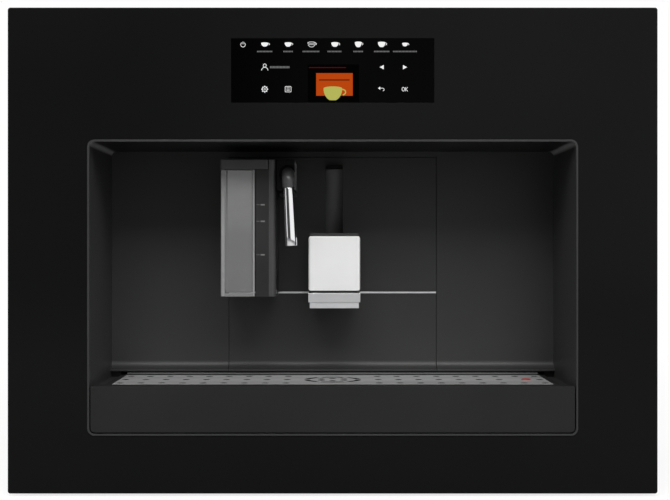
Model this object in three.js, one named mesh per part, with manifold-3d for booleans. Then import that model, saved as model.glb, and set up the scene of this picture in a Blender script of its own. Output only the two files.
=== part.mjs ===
// A built-in bean-to-cup coffee machine for a 60 cm kitchen column, in millimetres.
// The machine hangs on a pair of ball-bearing slides and is drawn out of its niche to be filled.
// +X is to the right seen from the front, +Y runs back into the niche, +Z is up.
// Inside the model y is counted from the front plane; the last group moves the origin to the
// middle of the footprint, on the floor of the niche.
import * as THREE from "three";
import { mergeVertices } from "three/addons/utils/BufferGeometryUtils.js";
import Module from "manifold-3d";

const wasm = await Module();
wasm.setup();

// ---------------------------------------------------------------- driving dimensions

const FIT = 0.3; // seated pieces lie this far apart
const RUN = 0.6; // sliding pieces run with this much play
const CUT = 1; // cutting bodies reach this far past what they cut
const SHEET = 1.5; // folded steel sheet
const TOTAL_DEPTH = 460;

// front panel
const PANEL_WIDTH = 595;
const PANEL_HEIGHT = 445;
const PANEL_LIFT = 2; // gap between the panel and the floor of the niche
const PANEL_CORNER = 2.3;
const GLASS_SETBACK = 0.8; // the lip of the recess stands this far proud of the glass
const GLASS_THICKNESS = 4;

// moulded frame behind the glass
const FRAME_DEPTH = 17;
const FRAME_WALL = 3;
const FRAME_INSET = 6;
const FRAME_CORNER = 4;

// touch panel
const TOUCH_WIDTH = 185.6;
const TOUCH_HEIGHT = 58.5;
const TOUCH_FROM_TOP = 28.3;
const TOUCH_SUPPORT = 4; // border by which it rests on the frame
const DISPLAY_WIDTH = 50;
const DISPLAY_HEIGHT = 38;
const DISPLAY_DEPTH = 7;
const BOARD_THICKNESS = 1.6;

// recess
const RECESS_WIDTH = 446;
const RECESS_FROM_TOP = 122.6;
const RECESS_FROM_BOTTOM = 54.7;
const RECESS_DEPTH = 130;
const RECESS_CORNER = 5;
const LINER_WALL = 1.8;
const LEDGE_FRONT = 12; // the ledges beside the tray start this far back
const LEDGE_HEIGHT = 40.3; // above the floor of the recess
const SPLASH_LIP = 9; // radius of the cove at the foot of the wall
const SPLASH_EDGE = 1.8;

// centre fascia in the back wall of the recess
const FASCIA_WIDTH = 209;
const FASCIA_FROM_CEILING = 5.8;
const FASCIA_THICKNESS = 2.1;
const FASCIA_FLANGE = 7;
const SEAM = 0.4;
const TRIM_DROP = 142.2; // below the ceiling of the recess
const TRIM_WIDTH = 1.5;
const TRIM_PROUD = 0.6;

// coffee dispenser, on its lowest stop
const DISPENSER_X = 1.6;
const DISPENSER_WIDTH = 50;
const DISPENSER_FRONT = 65; // set back from the front plane
const DISPENSER_BACK = 124;
const DISPENSER_TAPER = 12;
const DISPENSER_DROP = 155.5; // of its underside, below the ceiling of the recess
const DISPENSER_LIP = 5.7;
const DISPENSER_BASE = 8.9;
const DISPENSER_SEAM = 2.4;
const SEAM_INSET = 1.5;
const PLATE_HEIGHT = 52.4;
const PLATE_THICKNESS = 1.5;
const PLATE_WRAP = 46;
const PLATE_CORNER = 2.3;
const CAP_HEIGHT = 2.8;
const BASE_DEPTH = 48;
const BASE_WALL = 2.5;
const BASE_SLANT = 1.5;
const LIP_INSET = 1.3;
const DISPENSER_LIFT = 50;
const GROOVE_WIDTH = 17.2; // of the slot in the fascia
const GROOVE_DROP = 15.4; // of its upper end, below the ceiling of the recess
const GROOVE_LENGTH = 119;
const GROOVE_RADIUS = 10;
const GROOVE_STRAIGHT = 1.1; // flat sides before the half round
const GROOVE_WALL = 2;
const NOZZLE_SPACING = 22;
const NOZZLE_RADIUS = 3.5;
const NOZZLE_BORE = 2.2;
const NOZZLE_LENGTH = 8;
const NOZZLE_BAR = 3;
const HOSE_RADIUS = 3;
const NIPPLE_LENGTH = 3; // behind the channel

// milk carafe
const CARAFE_LEFT = -107.3;
const CARAFE_RIGHT = -54.3;
const CARAFE_FRONT = 50; // set back from the front plane
const CARAFE_DEPTH = 74;
const CARAFE_DROP = 13.3; // below the ceiling of the recess
const CARAFE_HEIGHT = 130.7;
const LID_HEIGHT = 9.2;
const LID_PLUG = 5;
const JUG_WALL = 3;
const JUG_CORNER = 4;
const GRIP_WIDTH = 19.2;
const GRIP_CORNER = 6;
const GRIP_COLUMN = 6.6; // the grip's corner runs up beside the lid
const FINGER_DEPTH = 9; // hollow for the fingers in the side of the grip
const FINGER_LENGTH = 38;
const FINGER_HEIGHT = 70;
const FINGER_BOTTOM = 25; // above the bottom of the carafe
const HEAD_WIDTH = 17.8;
const HEAD_HEIGHT = 28.7;
const HEAD_SETBACK = 2;
const SPOUT_FROM_RIGHT = 6.2; // pivot of the spout, from the right edge of the frother head
const SPOUT_DROP = 13.5; // and below its top
const SPOUT_AHEAD = 9; // and before its face
const SPOUT_TOP_RADIUS = 5.1;
const SPOUT_END_RADIUS = 5.7;
const SPOUT_BORE = 3.1;
const SPOUT_COLLAR = 13.5; // from the pivot to where the tube leaves the elbow
const SPOUT_TENON = 4; // the tube's neck inside the elbow
const SPOUT_LENGTH = 68.7; // from the pivot to the end of the tube
const SPOUT_LEAN = 2.7; // degrees, towards the coffee dispenser
const ELBOW_RADIUS = 6.3;
const SOCKET_RADIUS = 8.2;
const SOCKET_DEPTH = 6;
const STUB_RADIUS = 4;
const STUB_LENGTH = 5;
const DOCK_THICKNESS = 5.4;
const DOCK_RAIL = 24;
const RAIL_THICKNESS = 4;
const DOCK_BOSS = 6;
const BOSS_LENGTH = 8; // behind the fascia

// drip tray
const TRAY_GAP = 1.2; // shadow gap round the tray front
const TRAY_SETBACK = 0.4;
const TRAY_HEIGHT = 42.2;
const TRAY_FRONT_THICKNESS = 5;
const TRAY_CORNER = 4;
const TRAY_LEDGE = 17.4;
const TRAY_LEDGE_THICKNESS = 2.4;
const TRAY_WIDTH = 424;
const TRAY_LENGTH = 200;
const TRAY_WALL = 2;
const TRAY_PLAY = 1.5;
const RIM_WIDTH = 5.5;
const RIM_DEPTH = 4.3;
const RIM_SHELF = 5; // what carries the edge of the grille
const GRILLE_BACK = 118;
const GRILLE_THICKNESS = 1.2;
const HOLE_RADIUS = 2.7;
const HOLE_PITCH_X = 19.5;
const HOLE_PITCH_Y = 34;
const HOLE_ROWS = 3;
const HOLES_FROM_MIDDLE = 44;
const ROSETTE_RADIUS = 25;
const ROSETTE_SLOTS = 6;
const ROSETTE_SLOT_WIDTH = 3.6;
const ROSETTE_BRIDGE = 14; // degrees of steel between two slots
const FLOAT_X = 187;
const FLOAT_RADIUS = 12;
const FLOAT_HEIGHT = 12;
const FLOAT_STEM = 3;
const FLOAT_CAP = 4.8;
const FLOAT_CAP_HEIGHT = 3;
const FLOAT_PROUD = 0.8;

// body
const BODY_WIDTH = 554;
const BODY_DROP = 5.5; // top of the body, below the top of the panel
const BODY_HEIGHT = PANEL_LIFT + PANEL_HEIGHT - BODY_DROP;
const REAR_PROUD = 2; // the power inlet stands this far behind the rear panel
const FRONT_FLANGE = 12;
const COVER_FOLD = 10;
const DECK_THICKNESS = 2;
const DECK_LEG = 221; // from the middle to the legs of the deck
const DECK_FOOT = 20;
const LEG_SETBACK = 10;
const VENT_SLOTS = 10;
const VENT_PITCH = 9;
const VENT_WIDTH = 3.5;
const VENT_HEIGHT = 70;
const VENT_MARGIN = 20;

// slides and base frame
const SLIDE_LENGTH = 400;
const SLIDE_FRONT = 32;
const SLIDE_HEIGHT = 45;
const SLIDE_WIDTH = 12.7;
const SLIDE_BOTTOM = 14;
const SLIDE_GAUGE = 1.2;
const BALL_TRACK = 3; // height taken by a row of balls between two members
const CAGE_LENGTH = 280;
const BASE_GAUGE = 2;
const BASE_FLANGE = 37;
const BASE_OVERHANG = 4; // the base frame is this much longer than the slides at each end
const TIE_WIDTH = 40;
const FLOOR_SCREW_RADIUS = 2.6;
const PAN_DEPTH = 41; // from the ledges of the base pan down to its underside
const PAN_CLEARANCE = 6; // ledges above the slides

// water tank, on the left
const TANK_WIDTH = 70;
const TANK_LENGTH = 210;
const TANK_HEIGHT = 197;
const TANK_FRONT = 160;
const TANK_WALL = 2.2;
const TANK_CORNER = 8;
const TANK_LID = 2.6;
const TANK_HINGE = 6; // margin at the inner edge that the hinge of the lid takes
const TANK_KNUCKLE = 16;
const TANK_LUG = 4;
const TANK_PIN_RADIUS = 0.7;
const SEAT_THICKNESS = 2;
const SEAT_WALL = 4;
const SEAT_HEIGHT = 32;
const VALVE_RADIUS = 6;
const VALVE_HEIGHT = 12;
const VALVE_STUB = 10;

// grounds container, brewing unit and service door, on the right
const GROUNDS_WIDTH = 132;
const GROUNDS_LENGTH = 126;
const GROUNDS_HEIGHT = 88;
const GROUNDS_FRONT = 172;
const GROUNDS_WALL = 2;
const PULL_WIDTH = 60; // recessed pulls of the tank and the container
const PULL_HEIGHT = 18;
const PULL_DEPTH = 12;
const PULL_DROP = 14;
const DOOR_HEIGHT = 160;
const DOOR_LENGTH = 122;
const DOOR_GAP = 1;
const HINGE_RADIUS = 2.4;
const HINGE_TAB = 7;
const PIN_RADIUS = 1.1;
const LATCH_HEIGHT = 80; // above the sill of the door
const BREW_X = 190;
const BREW_WIDTH = 90;
const BREW_LENGTH = 104;
const BREW_WALL = 5;
const BREW_HEIGHT = 145.5;
const BREW_CLEARANCE = 5; // between the grounds container and the shelf above it
const LEG_CLEARANCE = 9; // and between the container and the legs beside it
const CHAMBER_RADIUS = 29;
const CHAMBER_BORE = 23;
const CHAMBER_HEIGHT = 52;
const CHAMBER_FLOOR = 8;
const CHAMBER_ABOVE_SHELF = 18;
const LUG_HEIGHT = 20;
const PISTON_LENGTH = 49;
const GUIDE_RADIUS = 4;
const GUIDE_SPACING = 78;
const DRIVE_WIDTH = 60;
const DRIVE_DEPTH = 21;
const DRIVE_HEIGHT = 92;
const DRIVE_MOTOR = 20;
const FUNNEL_SIZE = 40;
const FUNNEL_WALL = 2.5;
const FUNNEL_OFFSET = 22; // from the middle of the brewing unit
const FLAP_THICKNESS = 1.7;
const FLAP_MARGIN = 4;

// grinder and bean hopper, on top
const GRINDER_X = -10;
const GRINDER_Y = 245;
const GRINDER_RADIUS = 39;
const GRINDER_HEIGHT = 60;
const GRINDER_BORE = 24;
const GRINDER_SHAFT = 4;
const MOTOR_RADIUS = 30;
const MOTOR_HEIGHT = 82;
const STAND_SPACING = 48;
const STAND_LENGTH = 52;
const BURR_PLAY = 2;
const BURR_FLUTES = 8;
const HOPPER_SIZE = 140;
const HOPPER_WALL = 2;
const HOPPER_BOX = 30;
const HOPPER_THROAT = 40;
const THROAT_LENGTH = 9;
const HOPPER_HEIGHT = 70.5;
const HOPPER_FLANGE = 5;
const LID_THICKNESS = 2.2;
const LID_HINGE_RADIUS = 2;
const LID_PIN_RADIUS = 0.9;
const LID_EAR = 7;
const KNOB_RADIUS = 14;
const KNOB_HEIGHT = 4.8;
const KNOB_STEM = 3;
const KNOB_FLUTES = 16;

// water works, behind the grinder
const PUMP_X = 65;
const PUMP_Y = 385;
const PUMP_LENGTH = 64;
const PUMP_RADIUS = 18;
const PUMP_FEET = 4;
const PUMP_PORT = 10;
const BOILER_X = -145;
const BOILER_FROM_BACK = 38; // from the rear panel
const BOILER_SIZE = 90;
const BOILER_HEIGHT = 72;
const BOILER_FINS = 7;
const FIN_THICKNESS = 4;
const FIN_DEPTH = 6;
const HOSE_CLEARANCE = 25; // from the boiler to the water hose that passes it
const INLET_X = -205;
const INLET_Z = 162;
const INLET_WIDTH = 54;
const INLET_HEIGHT = 60;
const INLET_DEPTH = 20;
const INLET_FLANGE = 4;
const ROCKER_WIDTH = 26.8;
const ROCKER_TILT = 6; // degrees either side of the middle

// ---------------------------------------------------------------- derived places

const panelSide = PANEL_WIDTH / 2;
const panelTop = PANEL_LIFT + PANEL_HEIGHT;
const glassBack = GLASS_SETBACK + GLASS_THICKNESS;
const frameFront = glassBack + FIT;
const frameBack = frameFront + FRAME_DEPTH;
const bodyFront = frameBack + FIT;
const bodySide = BODY_WIDTH / 2;
const rearBack = TOTAL_DEPTH - REAR_PROUD;
const bodyBack = rearBack - SHEET - FIT; // what lies inside the rear panel ends here
const touchTop = panelTop - TOUCH_FROM_TOP;
const touchBottom = touchTop - TOUCH_HEIGHT;

const recessSide = RECESS_WIDTH / 2;
const recessFloor = PANEL_LIFT + RECESS_FROM_BOTTOM;
const recessCeiling = panelTop - RECESS_FROM_TOP;
const wallBack = RECESS_DEPTH + LINER_WALL;
const ledgeTop = recessFloor + LEDGE_HEIGHT;
const trayBottom = recessFloor + TRAY_GAP;
const trayTop = trayBottom + TRAY_HEIGHT;
const traySide = TRAY_WIDTH / 2;
const pocketSide = traySide + TRAY_PLAY;
const pocketBack = TRAY_LENGTH + TRAY_PLAY;
const pocketCeiling = trayTop + 2 * TRAY_PLAY;
const pocketTop = pocketCeiling + LINER_WALL;
const rimFront = TRAY_LEDGE + FIT;
const grilleFront = rimFront + RIM_WIDTH;
const grilleSide = traySide - FIT - RIM_WIDTH;
const grilleTop = trayTop - FIT;
const grilleMiddle = (grilleFront + GRILLE_BACK) / 2;

const fasciaSide = FASCIA_WIDTH / 2;
const fasciaTop = recessCeiling - FASCIA_FROM_CEILING;
const flangeFront = RECESS_DEPTH + FASCIA_THICKNESS;
const fasciaBack = flangeFront + SHEET;
const trimBottom = recessCeiling - TRIM_DROP - TRIM_WIDTH / 2;
const trimTop = trimBottom + TRIM_WIDTH;
const grooveTop = recessCeiling - GROOVE_DROP;
const grooveBottom = grooveTop - GROOVE_LENGTH;
const grooveFront = fasciaBack + FIT;
const grooveMiddle = grooveFront + GROOVE_STRAIGHT;
const troughBack = grooveMiddle + GROOVE_RADIUS + GROOVE_WALL;

const dispenserSide = DISPENSER_WIDTH / 2;
const dispenserBottom = recessCeiling - DISPENSER_DROP;
const baseBottom = dispenserBottom + DISPENSER_LIP;
const baseTop = baseBottom + DISPENSER_BASE;
const plateBottom = baseTop + DISPENSER_SEAM;
const plateTop = plateBottom + PLATE_HEIGHT;
const nippleHeight = grooveBottom + 2 * HOSE_RADIUS;
const nippleEnd = troughBack + NIPPLE_LENGTH;

const carafeTop = recessCeiling - CARAFE_DROP;
const carafeBottom = carafeTop - CARAFE_HEIGHT;
const carafeBack = CARAFE_FRONT + CARAFE_DEPTH;
const lidBottom = carafeTop - LID_HEIGHT;
const jugTop = lidBottom - FIT;
const gripLeft = CARAFE_RIGHT - GRIP_WIDTH;
const jugRight = gripLeft - FIT;
const columnLeft = CARAFE_RIGHT - GRIP_COLUMN;
const headLeft = CARAFE_RIGHT + FIT;
const headRight = headLeft + HEAD_WIDTH;
const headFront = CARAFE_FRONT + HEAD_SETBACK;
const headBottom = carafeTop - HEAD_HEIGHT;
const spoutX = headRight - SPOUT_FROM_RIGHT;
const spoutY = headFront - SPOUT_AHEAD;
const spoutZ = carafeTop - SPOUT_DROP;
const stubX = (headLeft + headRight) / 2;
const bossEnd = fasciaBack + BOSS_LENGTH;

const slideTop = SLIDE_BOTTOM + SLIDE_HEIGHT;
const slideOuterFace = bodySide - BASE_GAUGE;
const slideInnerFace = slideOuterFace - SLIDE_WIDTH - 2 * FIT;
const panLedge = slideTop + PAN_CLEARANCE;
const panBottom = panLedge - PAN_DEPTH;
const deckBottom = pocketTop + FIT;
const deckTop = deckBottom + DECK_THICKNESS;
const coverBottom = BODY_HEIGHT - SHEET;

const tankBottom = deckTop + SEAT_THICKNESS + 2 * FIT;
const tankTop = tankBottom + TANK_HEIGHT;
const tankInner = TANK_WIDTH - bodySide;
const tankBack = TANK_FRONT + TANK_LENGTH;
const tankMiddle = (TANK_FRONT + tankBack) / 2;
const valveZ = tankBottom + VALVE_HEIGHT;
const seatWall = tankInner + FIT;

const groundsBottom = deckTop + FIT;
const groundsTop = groundsBottom + GROUNDS_HEIGHT;
const groundsInner = bodySide - GROUNDS_WIDTH;
const groundsBack = GROUNDS_FRONT + GROUNDS_LENGTH;
const shelfBottom = groundsTop + BREW_CLEARANCE;
const shelfTop = shelfBottom + BREW_WALL;
const brewTop = shelfTop + BREW_HEIGHT;
const brewY = GROUNDS_FRONT + GROUNDS_LENGTH / 2;
const doorSill = shelfTop + 2;
const doorTop = doorSill + DOOR_HEIGHT;
const doorFront = brewY - DOOR_LENGTH / 2;
const doorBack = brewY + DOOR_LENGTH / 2;
const doorHinge = [bodySide + FIT + HINGE_RADIUS, doorBack + HINGE_RADIUS];
const funnelX = BREW_X + FUNNEL_OFFSET;

const flangeTop = BODY_HEIGHT + FIT + SHEET;
const throatBottom = flangeTop - HOPPER_HEIGHT;
const grinderTop = throatBottom - FIT;
const grinderBottom = grinderTop - GRINDER_HEIGHT;
const motorTop = grinderBottom - FIT;
const motorBottom = motorTop - MOTOR_HEIGHT;
const hopperHalf = HOPPER_SIZE / 2 + HOPPER_FLANGE;
const knobX = GRINDER_X - hopperHalf - KNOB_RADIUS - 6;

// ---------------------------------------------------------------- materials

const finish = (color, roughness, metalness = 0, extra = {}) =>
  new THREE.MeshStandardMaterial({ color, roughness, metalness, ...extra });

const blackGlass = finish(0x171717, 0.12);
const touchGlass = finish(0x060606, 0.08);
const satinBlack = finish(0x2a2a2a, 0.5);
const recessGrey = finish(0x343434, 0.45);
const darkPlastic = finish(0x1c1c1c, 0.55);
const gripPlastic = finish(0x3a3a3a, 0.5);
const satinSteel = finish(0xdcdcdc, 0.3, 0.9);
const chrome = finish(0xe6e6e6, 0.08, 1);
const grilleSteel = finish(0xa0a0a0, 0.3, 0.9);
const galvanised = finish(0xa9adb0, 0.45, 0.8);
const clearPlastic = finish(0xcfd3d6, 0.1, 0, { transparent: true, opacity: 0.4 });
const smokedPlastic = finish(0x6d7378, 0.15, 0, { transparent: true, opacity: 0.5 });
const redPlastic = finish(0xa82820, 0.4);
const boardGreen = finish(0x1e4a2c, 0.6);
const castAluminium = finish(0xb8babd, 0.4, 0.8);
const whiteNylon = finish(0xd8d6cf, 0.6);
const siliconeHose = finish(0xc8cac6, 0.5);
const motorSteel = finish(0x8b8d90, 0.4, 0.8);

// ---------------------------------------------------------------- solids

const { PI } = Math;
const RADIAN = PI / 180;
const X_AXIS = new THREE.Vector3(1, 0, 0);
const Y_AXIS = new THREE.Vector3(0, 1, 0);
const Z_AXIS = new THREE.Vector3(0, 0, 1);

// A closed geometry as a solid that can be joined and cut.
function solid(geometry) {
  const loose = geometry.index ? geometry.toNonIndexed() : geometry;
  const bare = new THREE.BufferGeometry().setAttribute("position", loose.getAttribute("position"));
  const merged = mergeVertices(bare, 1e-4);
  const corners = merged.index.array;
  const faces = [];
  for (let i = 0; i < corners.length; i += 3) {
    const [a, b, c] = corners.slice(i, i + 3);
    if (a !== b && b !== c && c !== a) faces.push(a, b, c); // leaves out the slivers at a pole
  }
  const vertProperties = merged.getAttribute("position").array;
  const triVerts = new Uint32Array(faces);
  return new wasm.Manifold(new wasm.Mesh({ numProp: 3, vertProperties, triVerts }));
}

const join = (first, ...rest) => rest.reduce((whole, part) => whole.add(part), first);
const cut = (first, ...rest) => rest.reduce((whole, part) => whole.subtract(part), first);
const mirrored = (body) => body.mirror([1, 0, 0]);
const bothSides = (body) => join(body, mirrored(body));

function block(x0, x1, y0, y1, z0, z1) {
  const geometry = new THREE.BoxGeometry(x1 - x0, y1 - y0, z1 - z0);
  return solid(geometry.translate((x0 + x1) / 2, (y0 + y1) / 2, (z0 + z1) / 2));
}

// A rectangle whose lower two and upper two corners are round.
function roundedRect(x0, x1, y0, y1, lower, upper = lower) {
  const shape = new THREE.Shape();
  shape.moveTo(x0 + lower, y0);
  shape.lineTo(x1 - lower, y0);
  shape.absarc(x1 - lower, y0 + lower, lower, -PI / 2, 0);
  shape.lineTo(x1, y1 - upper);
  shape.absarc(x1 - upper, y1 - upper, upper, 0, PI / 2);
  shape.lineTo(x0 + upper, y1);
  shape.absarc(x0 + upper, y1 - upper, upper, PI / 2, PI);
  shape.lineTo(x0, y0 + lower);
  shape.absarc(x0 + lower, y0 + lower, lower, PI, 1.5 * PI);
  return shape;
}

function polygon(points) {
  return new THREE.Shape(points.map(([a, b]) => new THREE.Vector2(a, b)));
}

// The three planes an outline can be drawn on, and the way it is then extruded:
// plan is (x, y) upwards, front is (x, z) along y, side is (y, z) along x.
const PLANES = {
  plan: new THREE.Matrix4(),
  front: new THREE.Matrix4().makeBasis(X_AXIS, Z_AXIS, Y_AXIS.clone().negate()),
  side: new THREE.Matrix4().makeBasis(Y_AXIS, Z_AXIS, X_AXIS),
};

function extrude(plane, shape, from, to, steps = 5) {
  const options = { depth: to - from, curveSegments: steps, bevelEnabled: false };
  const geometry = new THREE.ExtrudeGeometry(shape, options);
  geometry.applyMatrix4(PLANES[plane]);
  if (plane === "plan") geometry.translate(0, 0, from);
  if (plane === "front") geometry.translate(0, to, 0);
  if (plane === "side") geometry.translate(from, 0, 0);
  return solid(geometry);
}

// A profile of [radius, height] points, from the bottom up, turned about a vertical through (x, y).
function turned(profile, x, y, sides = 24) {
  const geometry = new THREE.LatheGeometry(profile.map(([r, h]) => new THREE.Vector2(r, h)), sides);
  geometry.rotateX(PI / 2);
  geometry.translate(x, y, 0);
  return solid(geometry);
}

// A round rod along one axis, from one end to the other, through a point of the plane across it.
function rod(axis, radius, from, to, a, b, sides = 16) {
  const geometry = new THREE.CylinderGeometry(radius, radius, to - from, sides);
  const middle = (from + to) / 2;
  if (axis === "x") geometry.rotateZ(PI / 2).translate(middle, a, b);
  if (axis === "y") geometry.translate(a, middle, b);
  if (axis === "z") geometry.rotateX(PI / 2).translate(a, b, middle);
  return solid(geometry);
}

// A square column about a vertical, and a square funnel between two half widths.
const column = (x, y, half, z0, z1) => block(x - half, x + half, y - half, y + half, z0, z1);

function frustum(topHalf, bottomHalf, z0, z1, x, y) {
  const geometry = new THREE.CylinderGeometry(topHalf * Math.SQRT2, bottomHalf * Math.SQRT2, z1 - z0, 4);
  geometry.rotateY(PI / 4).rotateX(PI / 2).translate(x, y, (z0 + z1) / 2);
  return solid(geometry);
}

// A round hose along a smooth curve through the given points.
function hose(points, radius, steps) {
  const curve = new THREE.CatmullRomCurve3(points.map((p) => new THREE.Vector3(...p)));
  const section = new THREE.Shape();
  section.absarc(0, 0, radius, 0, 2 * PI);
  const options = { steps, extrudePath: curve, curveSegments: 4, bevelEnabled: false };
  return solid(new THREE.ExtrudeGeometry(section, options));
}

// A shell with a pull recessed in one wall: the hollow of the pull keeps a wall round it.
function shellWithPull(outer, cavity, pull, pullWalls) {
  return cut(outer, cut(cavity, pullWalls), pull);
}

// ---------------------------------------------------------------- assembly

const machine = new THREE.Group();
machine.position.set(0, -TOTAL_DEPTH / 2, 0);

function piece(name, body, material, parent = machine) {
  const { vertProperties, triVerts } = body.getMesh();
  const geometry = new THREE.BufferGeometry();
  geometry.setAttribute("position", new THREE.BufferAttribute(new Float32Array(vertProperties), 3));
  geometry.setIndex(new THREE.BufferAttribute(new Uint32Array(triVerts), 1));
  geometry.computeVertexNormals();
  const mesh = new THREE.Mesh(geometry, material);
  mesh.name = name;
  parent.add(mesh);
}

function pair(name, right, material) {
  piece(`${name}_right`, right, material);
  piece(`${name}_left`, mirrored(right), material);
}

// ---------------------------------------------------------------- base frame and slides

// Two floor angles joined by a front and a rear tie, screwed to the floor of the niche.
function makeBaseFrame() {
  const front = SLIDE_FRONT - BASE_OVERHANG;
  const back = SLIDE_FRONT + SLIDE_LENGTH + BASE_OVERHANG;
  const angle = join(
    block(bodySide - BASE_FLANGE, bodySide, front, back, 0, BASE_GAUGE),
    block(bodySide - BASE_GAUGE, bodySide, front, back, 0, slideTop),
  );
  const tie = (y) => block(-bodySide, bodySide, y, y + TIE_WIDTH, 0, BASE_GAUGE);
  const screwLine = bodySide - BASE_FLANGE / 2;
  const holes = [front + TIE_WIDTH / 2, (front + back) / 2, back - TIE_WIDTH / 2].map((y) =>
    bothSides(rod("z", FLOOR_SCREW_RADIUS, -CUT, BASE_GAUGE + CUT, screwLine, y, 12)),
  );
  const frame = join(bothSides(angle), tie(front), tie(back - TIE_WIDTH));
  piece("base_frame", cut(frame, ...holes), galvanised);
}

// A channel section standing on edge, with its web at one x and its flanges ending at another.
function slideMember(web, flangeEnd, z0, z1) {
  const inner = web < flangeEnd ? web + SLIDE_GAUGE : web - SLIDE_GAUGE;
  const outline = polygon([
    [web, z0],
    [flangeEnd, z0],
    [flangeEnd, z0 + SLIDE_GAUGE],
    [inner, z0 + SLIDE_GAUGE],
    [inner, z1 - SLIDE_GAUGE],
    [flangeEnd, z1 - SLIDE_GAUGE],
    [flangeEnd, z1],
    [web, z1],
  ]);
  return extrude("front", outline, SLIDE_FRONT, SLIDE_FRONT + SLIDE_LENGTH);
}

// Three nested members a side. The middle one carries the ball cages, drawn as strips.
function makeSlides() {
  const step = BALL_TRACK + SLIDE_GAUGE;
  const outerWeb = slideOuterFace - FIT;
  const middleWeb = outerWeb - SLIDE_GAUGE - FIT;
  const innerWeb = slideInnerFace + FIT;
  const reach = SLIDE_WIDTH - SLIDE_GAUGE - 2 * FIT;
  const outer = slideMember(outerWeb, outerWeb - reach, SLIDE_BOTTOM, slideTop);
  const middle = slideMember(middleWeb, middleWeb - reach + 2, SLIDE_BOTTOM + step, slideTop - step);
  const inner = slideMember(innerWeb, innerWeb + reach / 2, SLIDE_BOTTOM + 2 * step, slideTop - 2 * step);
  const cageFront = SLIDE_FRONT + (SLIDE_LENGTH - CAGE_LENGTH) / 2;
  const cage = (z0, z1) =>
    block(innerWeb + 2.5, innerWeb + 5, cageFront, cageFront + CAGE_LENGTH, z0, z1);
  const middleFlange = step + SLIDE_GAUGE / 2;
  const cages = [
    cage(SLIDE_BOTTOM + SLIDE_GAUGE + FIT, SLIDE_BOTTOM + middleFlange),
    cage(SLIDE_BOTTOM + middleFlange, SLIDE_BOTTOM + 2 * step - FIT),
    cage(slideTop - 2 * step + FIT, slideTop - middleFlange),
    cage(slideTop - middleFlange, slideTop - SLIDE_GAUGE - FIT),
  ];
  pair("slide_outer", outer, galvanised);
  pair("slide_middle", join(middle, ...cages), galvanised);
  pair("slide_inner", inner, galvanised);
}

// ---------------------------------------------------------------- housing

// Right edge of the section that the base pan and the rear panel share: it is narrow between
// the slides and steps out to the full width above them.
function steppedEdge(step, top) {
  return [
    [slideInnerFace, panBottom],
    [slideInnerFace, step],
    [bodySide, step],
    [bodySide, top],
  ];
}

function makeBasePan() {
  const half = [
    [0, panBottom],
    ...steppedEdge(panLedge - SHEET, panLedge),
    [slideInnerFace - SHEET, panLedge],
    [slideInnerFace - SHEET, panBottom + SHEET],
    [0, panBottom + SHEET],
  ];
  const pan = bothSides(extrude("front", polygon(half), bodyFront, bodyBack));
  const vents = [];
  for (let i = 0; i < VENT_SLOTS; i++) {
    const y = bodyBack - VENT_HEIGHT - i * 2 * VENT_PITCH;
    const [z0, z1] = [panBottom - CUT, panBottom + SHEET + CUT];
    vents.push(block(-VENT_HEIGHT, VENT_HEIGHT, y, y + VENT_WIDTH, z0, z1));
  }
  piece("base_pan", cut(pan, ...vents), galvanised);
}

// Shelf that carries the works, lying on the pocket of the drip tray and on two legs behind it.
function makeDeck() {
  const legFront = pocketBack + LINER_WALL + LEG_SETBACK;
  const footBottom = panBottom + SHEET + FIT;
  const side = bodySide - SHEET - FIT;
  const leg = join(
    block(DECK_LEG - DECK_THICKNESS, DECK_LEG, legFront, bodyBack, footBottom, deckTop),
    block(DECK_LEG - DECK_FOOT, DECK_LEG, legFront, bodyBack, footBottom, footBottom + DECK_THICKNESS),
  );
  const plate = block(-side, side, fasciaBack + RUN, bodyBack, deckBottom, deckTop);
  piece("deck", join(plate, bothSides(leg)), galvanised);
}

// Body that cuts a window through the right side panel, larger all round by a gap.
function sideWindow(y0, y1, z0, z1, gap = DOOR_GAP) {
  return block(bodySide - SHEET - CUT, bodySide + CUT, y0 - gap, y1 + gap, z0 - gap, z1 + gap);
}

// A sheet with a flange turned in behind the front frame, and upright vents near its rear end.
function sidePanel() {
  const bottom = panLedge + FIT;
  const top = coverBottom - FIT;
  const sheet = block(bodySide - SHEET, bodySide, bodyFront, bodyBack, bottom, top);
  const flange = block(bodySide - FRONT_FLANGE, bodySide, bodyFront, bodyFront + SHEET, bottom, top);
  const ventTop = top - VENT_MARGIN;
  const vents = [];
  for (let i = 0; i < VENT_SLOTS; i++) {
    const y = bodyBack - VENT_MARGIN - VENT_WIDTH - i * VENT_PITCH;
    vents.push(sideWindow(y, y + VENT_WIDTH, ventTop - VENT_HEIGHT, ventTop, 0));
  }
  return cut(join(sheet, flange), ...vents);
}

// Knuckles in fifths of the service door's hinge line, each on a tab with the given outline.
function doorKnuckles(fifths, tab) {
  const fifth = DOOR_HEIGHT / 5;
  const knuckles = fifths.map((place) => {
    const z0 = doorSill + place * fifth + FIT;
    const z1 = doorSill + (place + 1) * fifth - FIT;
    return join(rod("z", HINGE_RADIUS, z0, z1, ...doorHinge, 12), extrude("plan", tab, z0, z1));
  });
  return join(...knuckles);
}

const [doorHingeX, doorHingeY] = doorHinge;
const tabRoot = bodySide - SHEET / 2;

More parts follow.
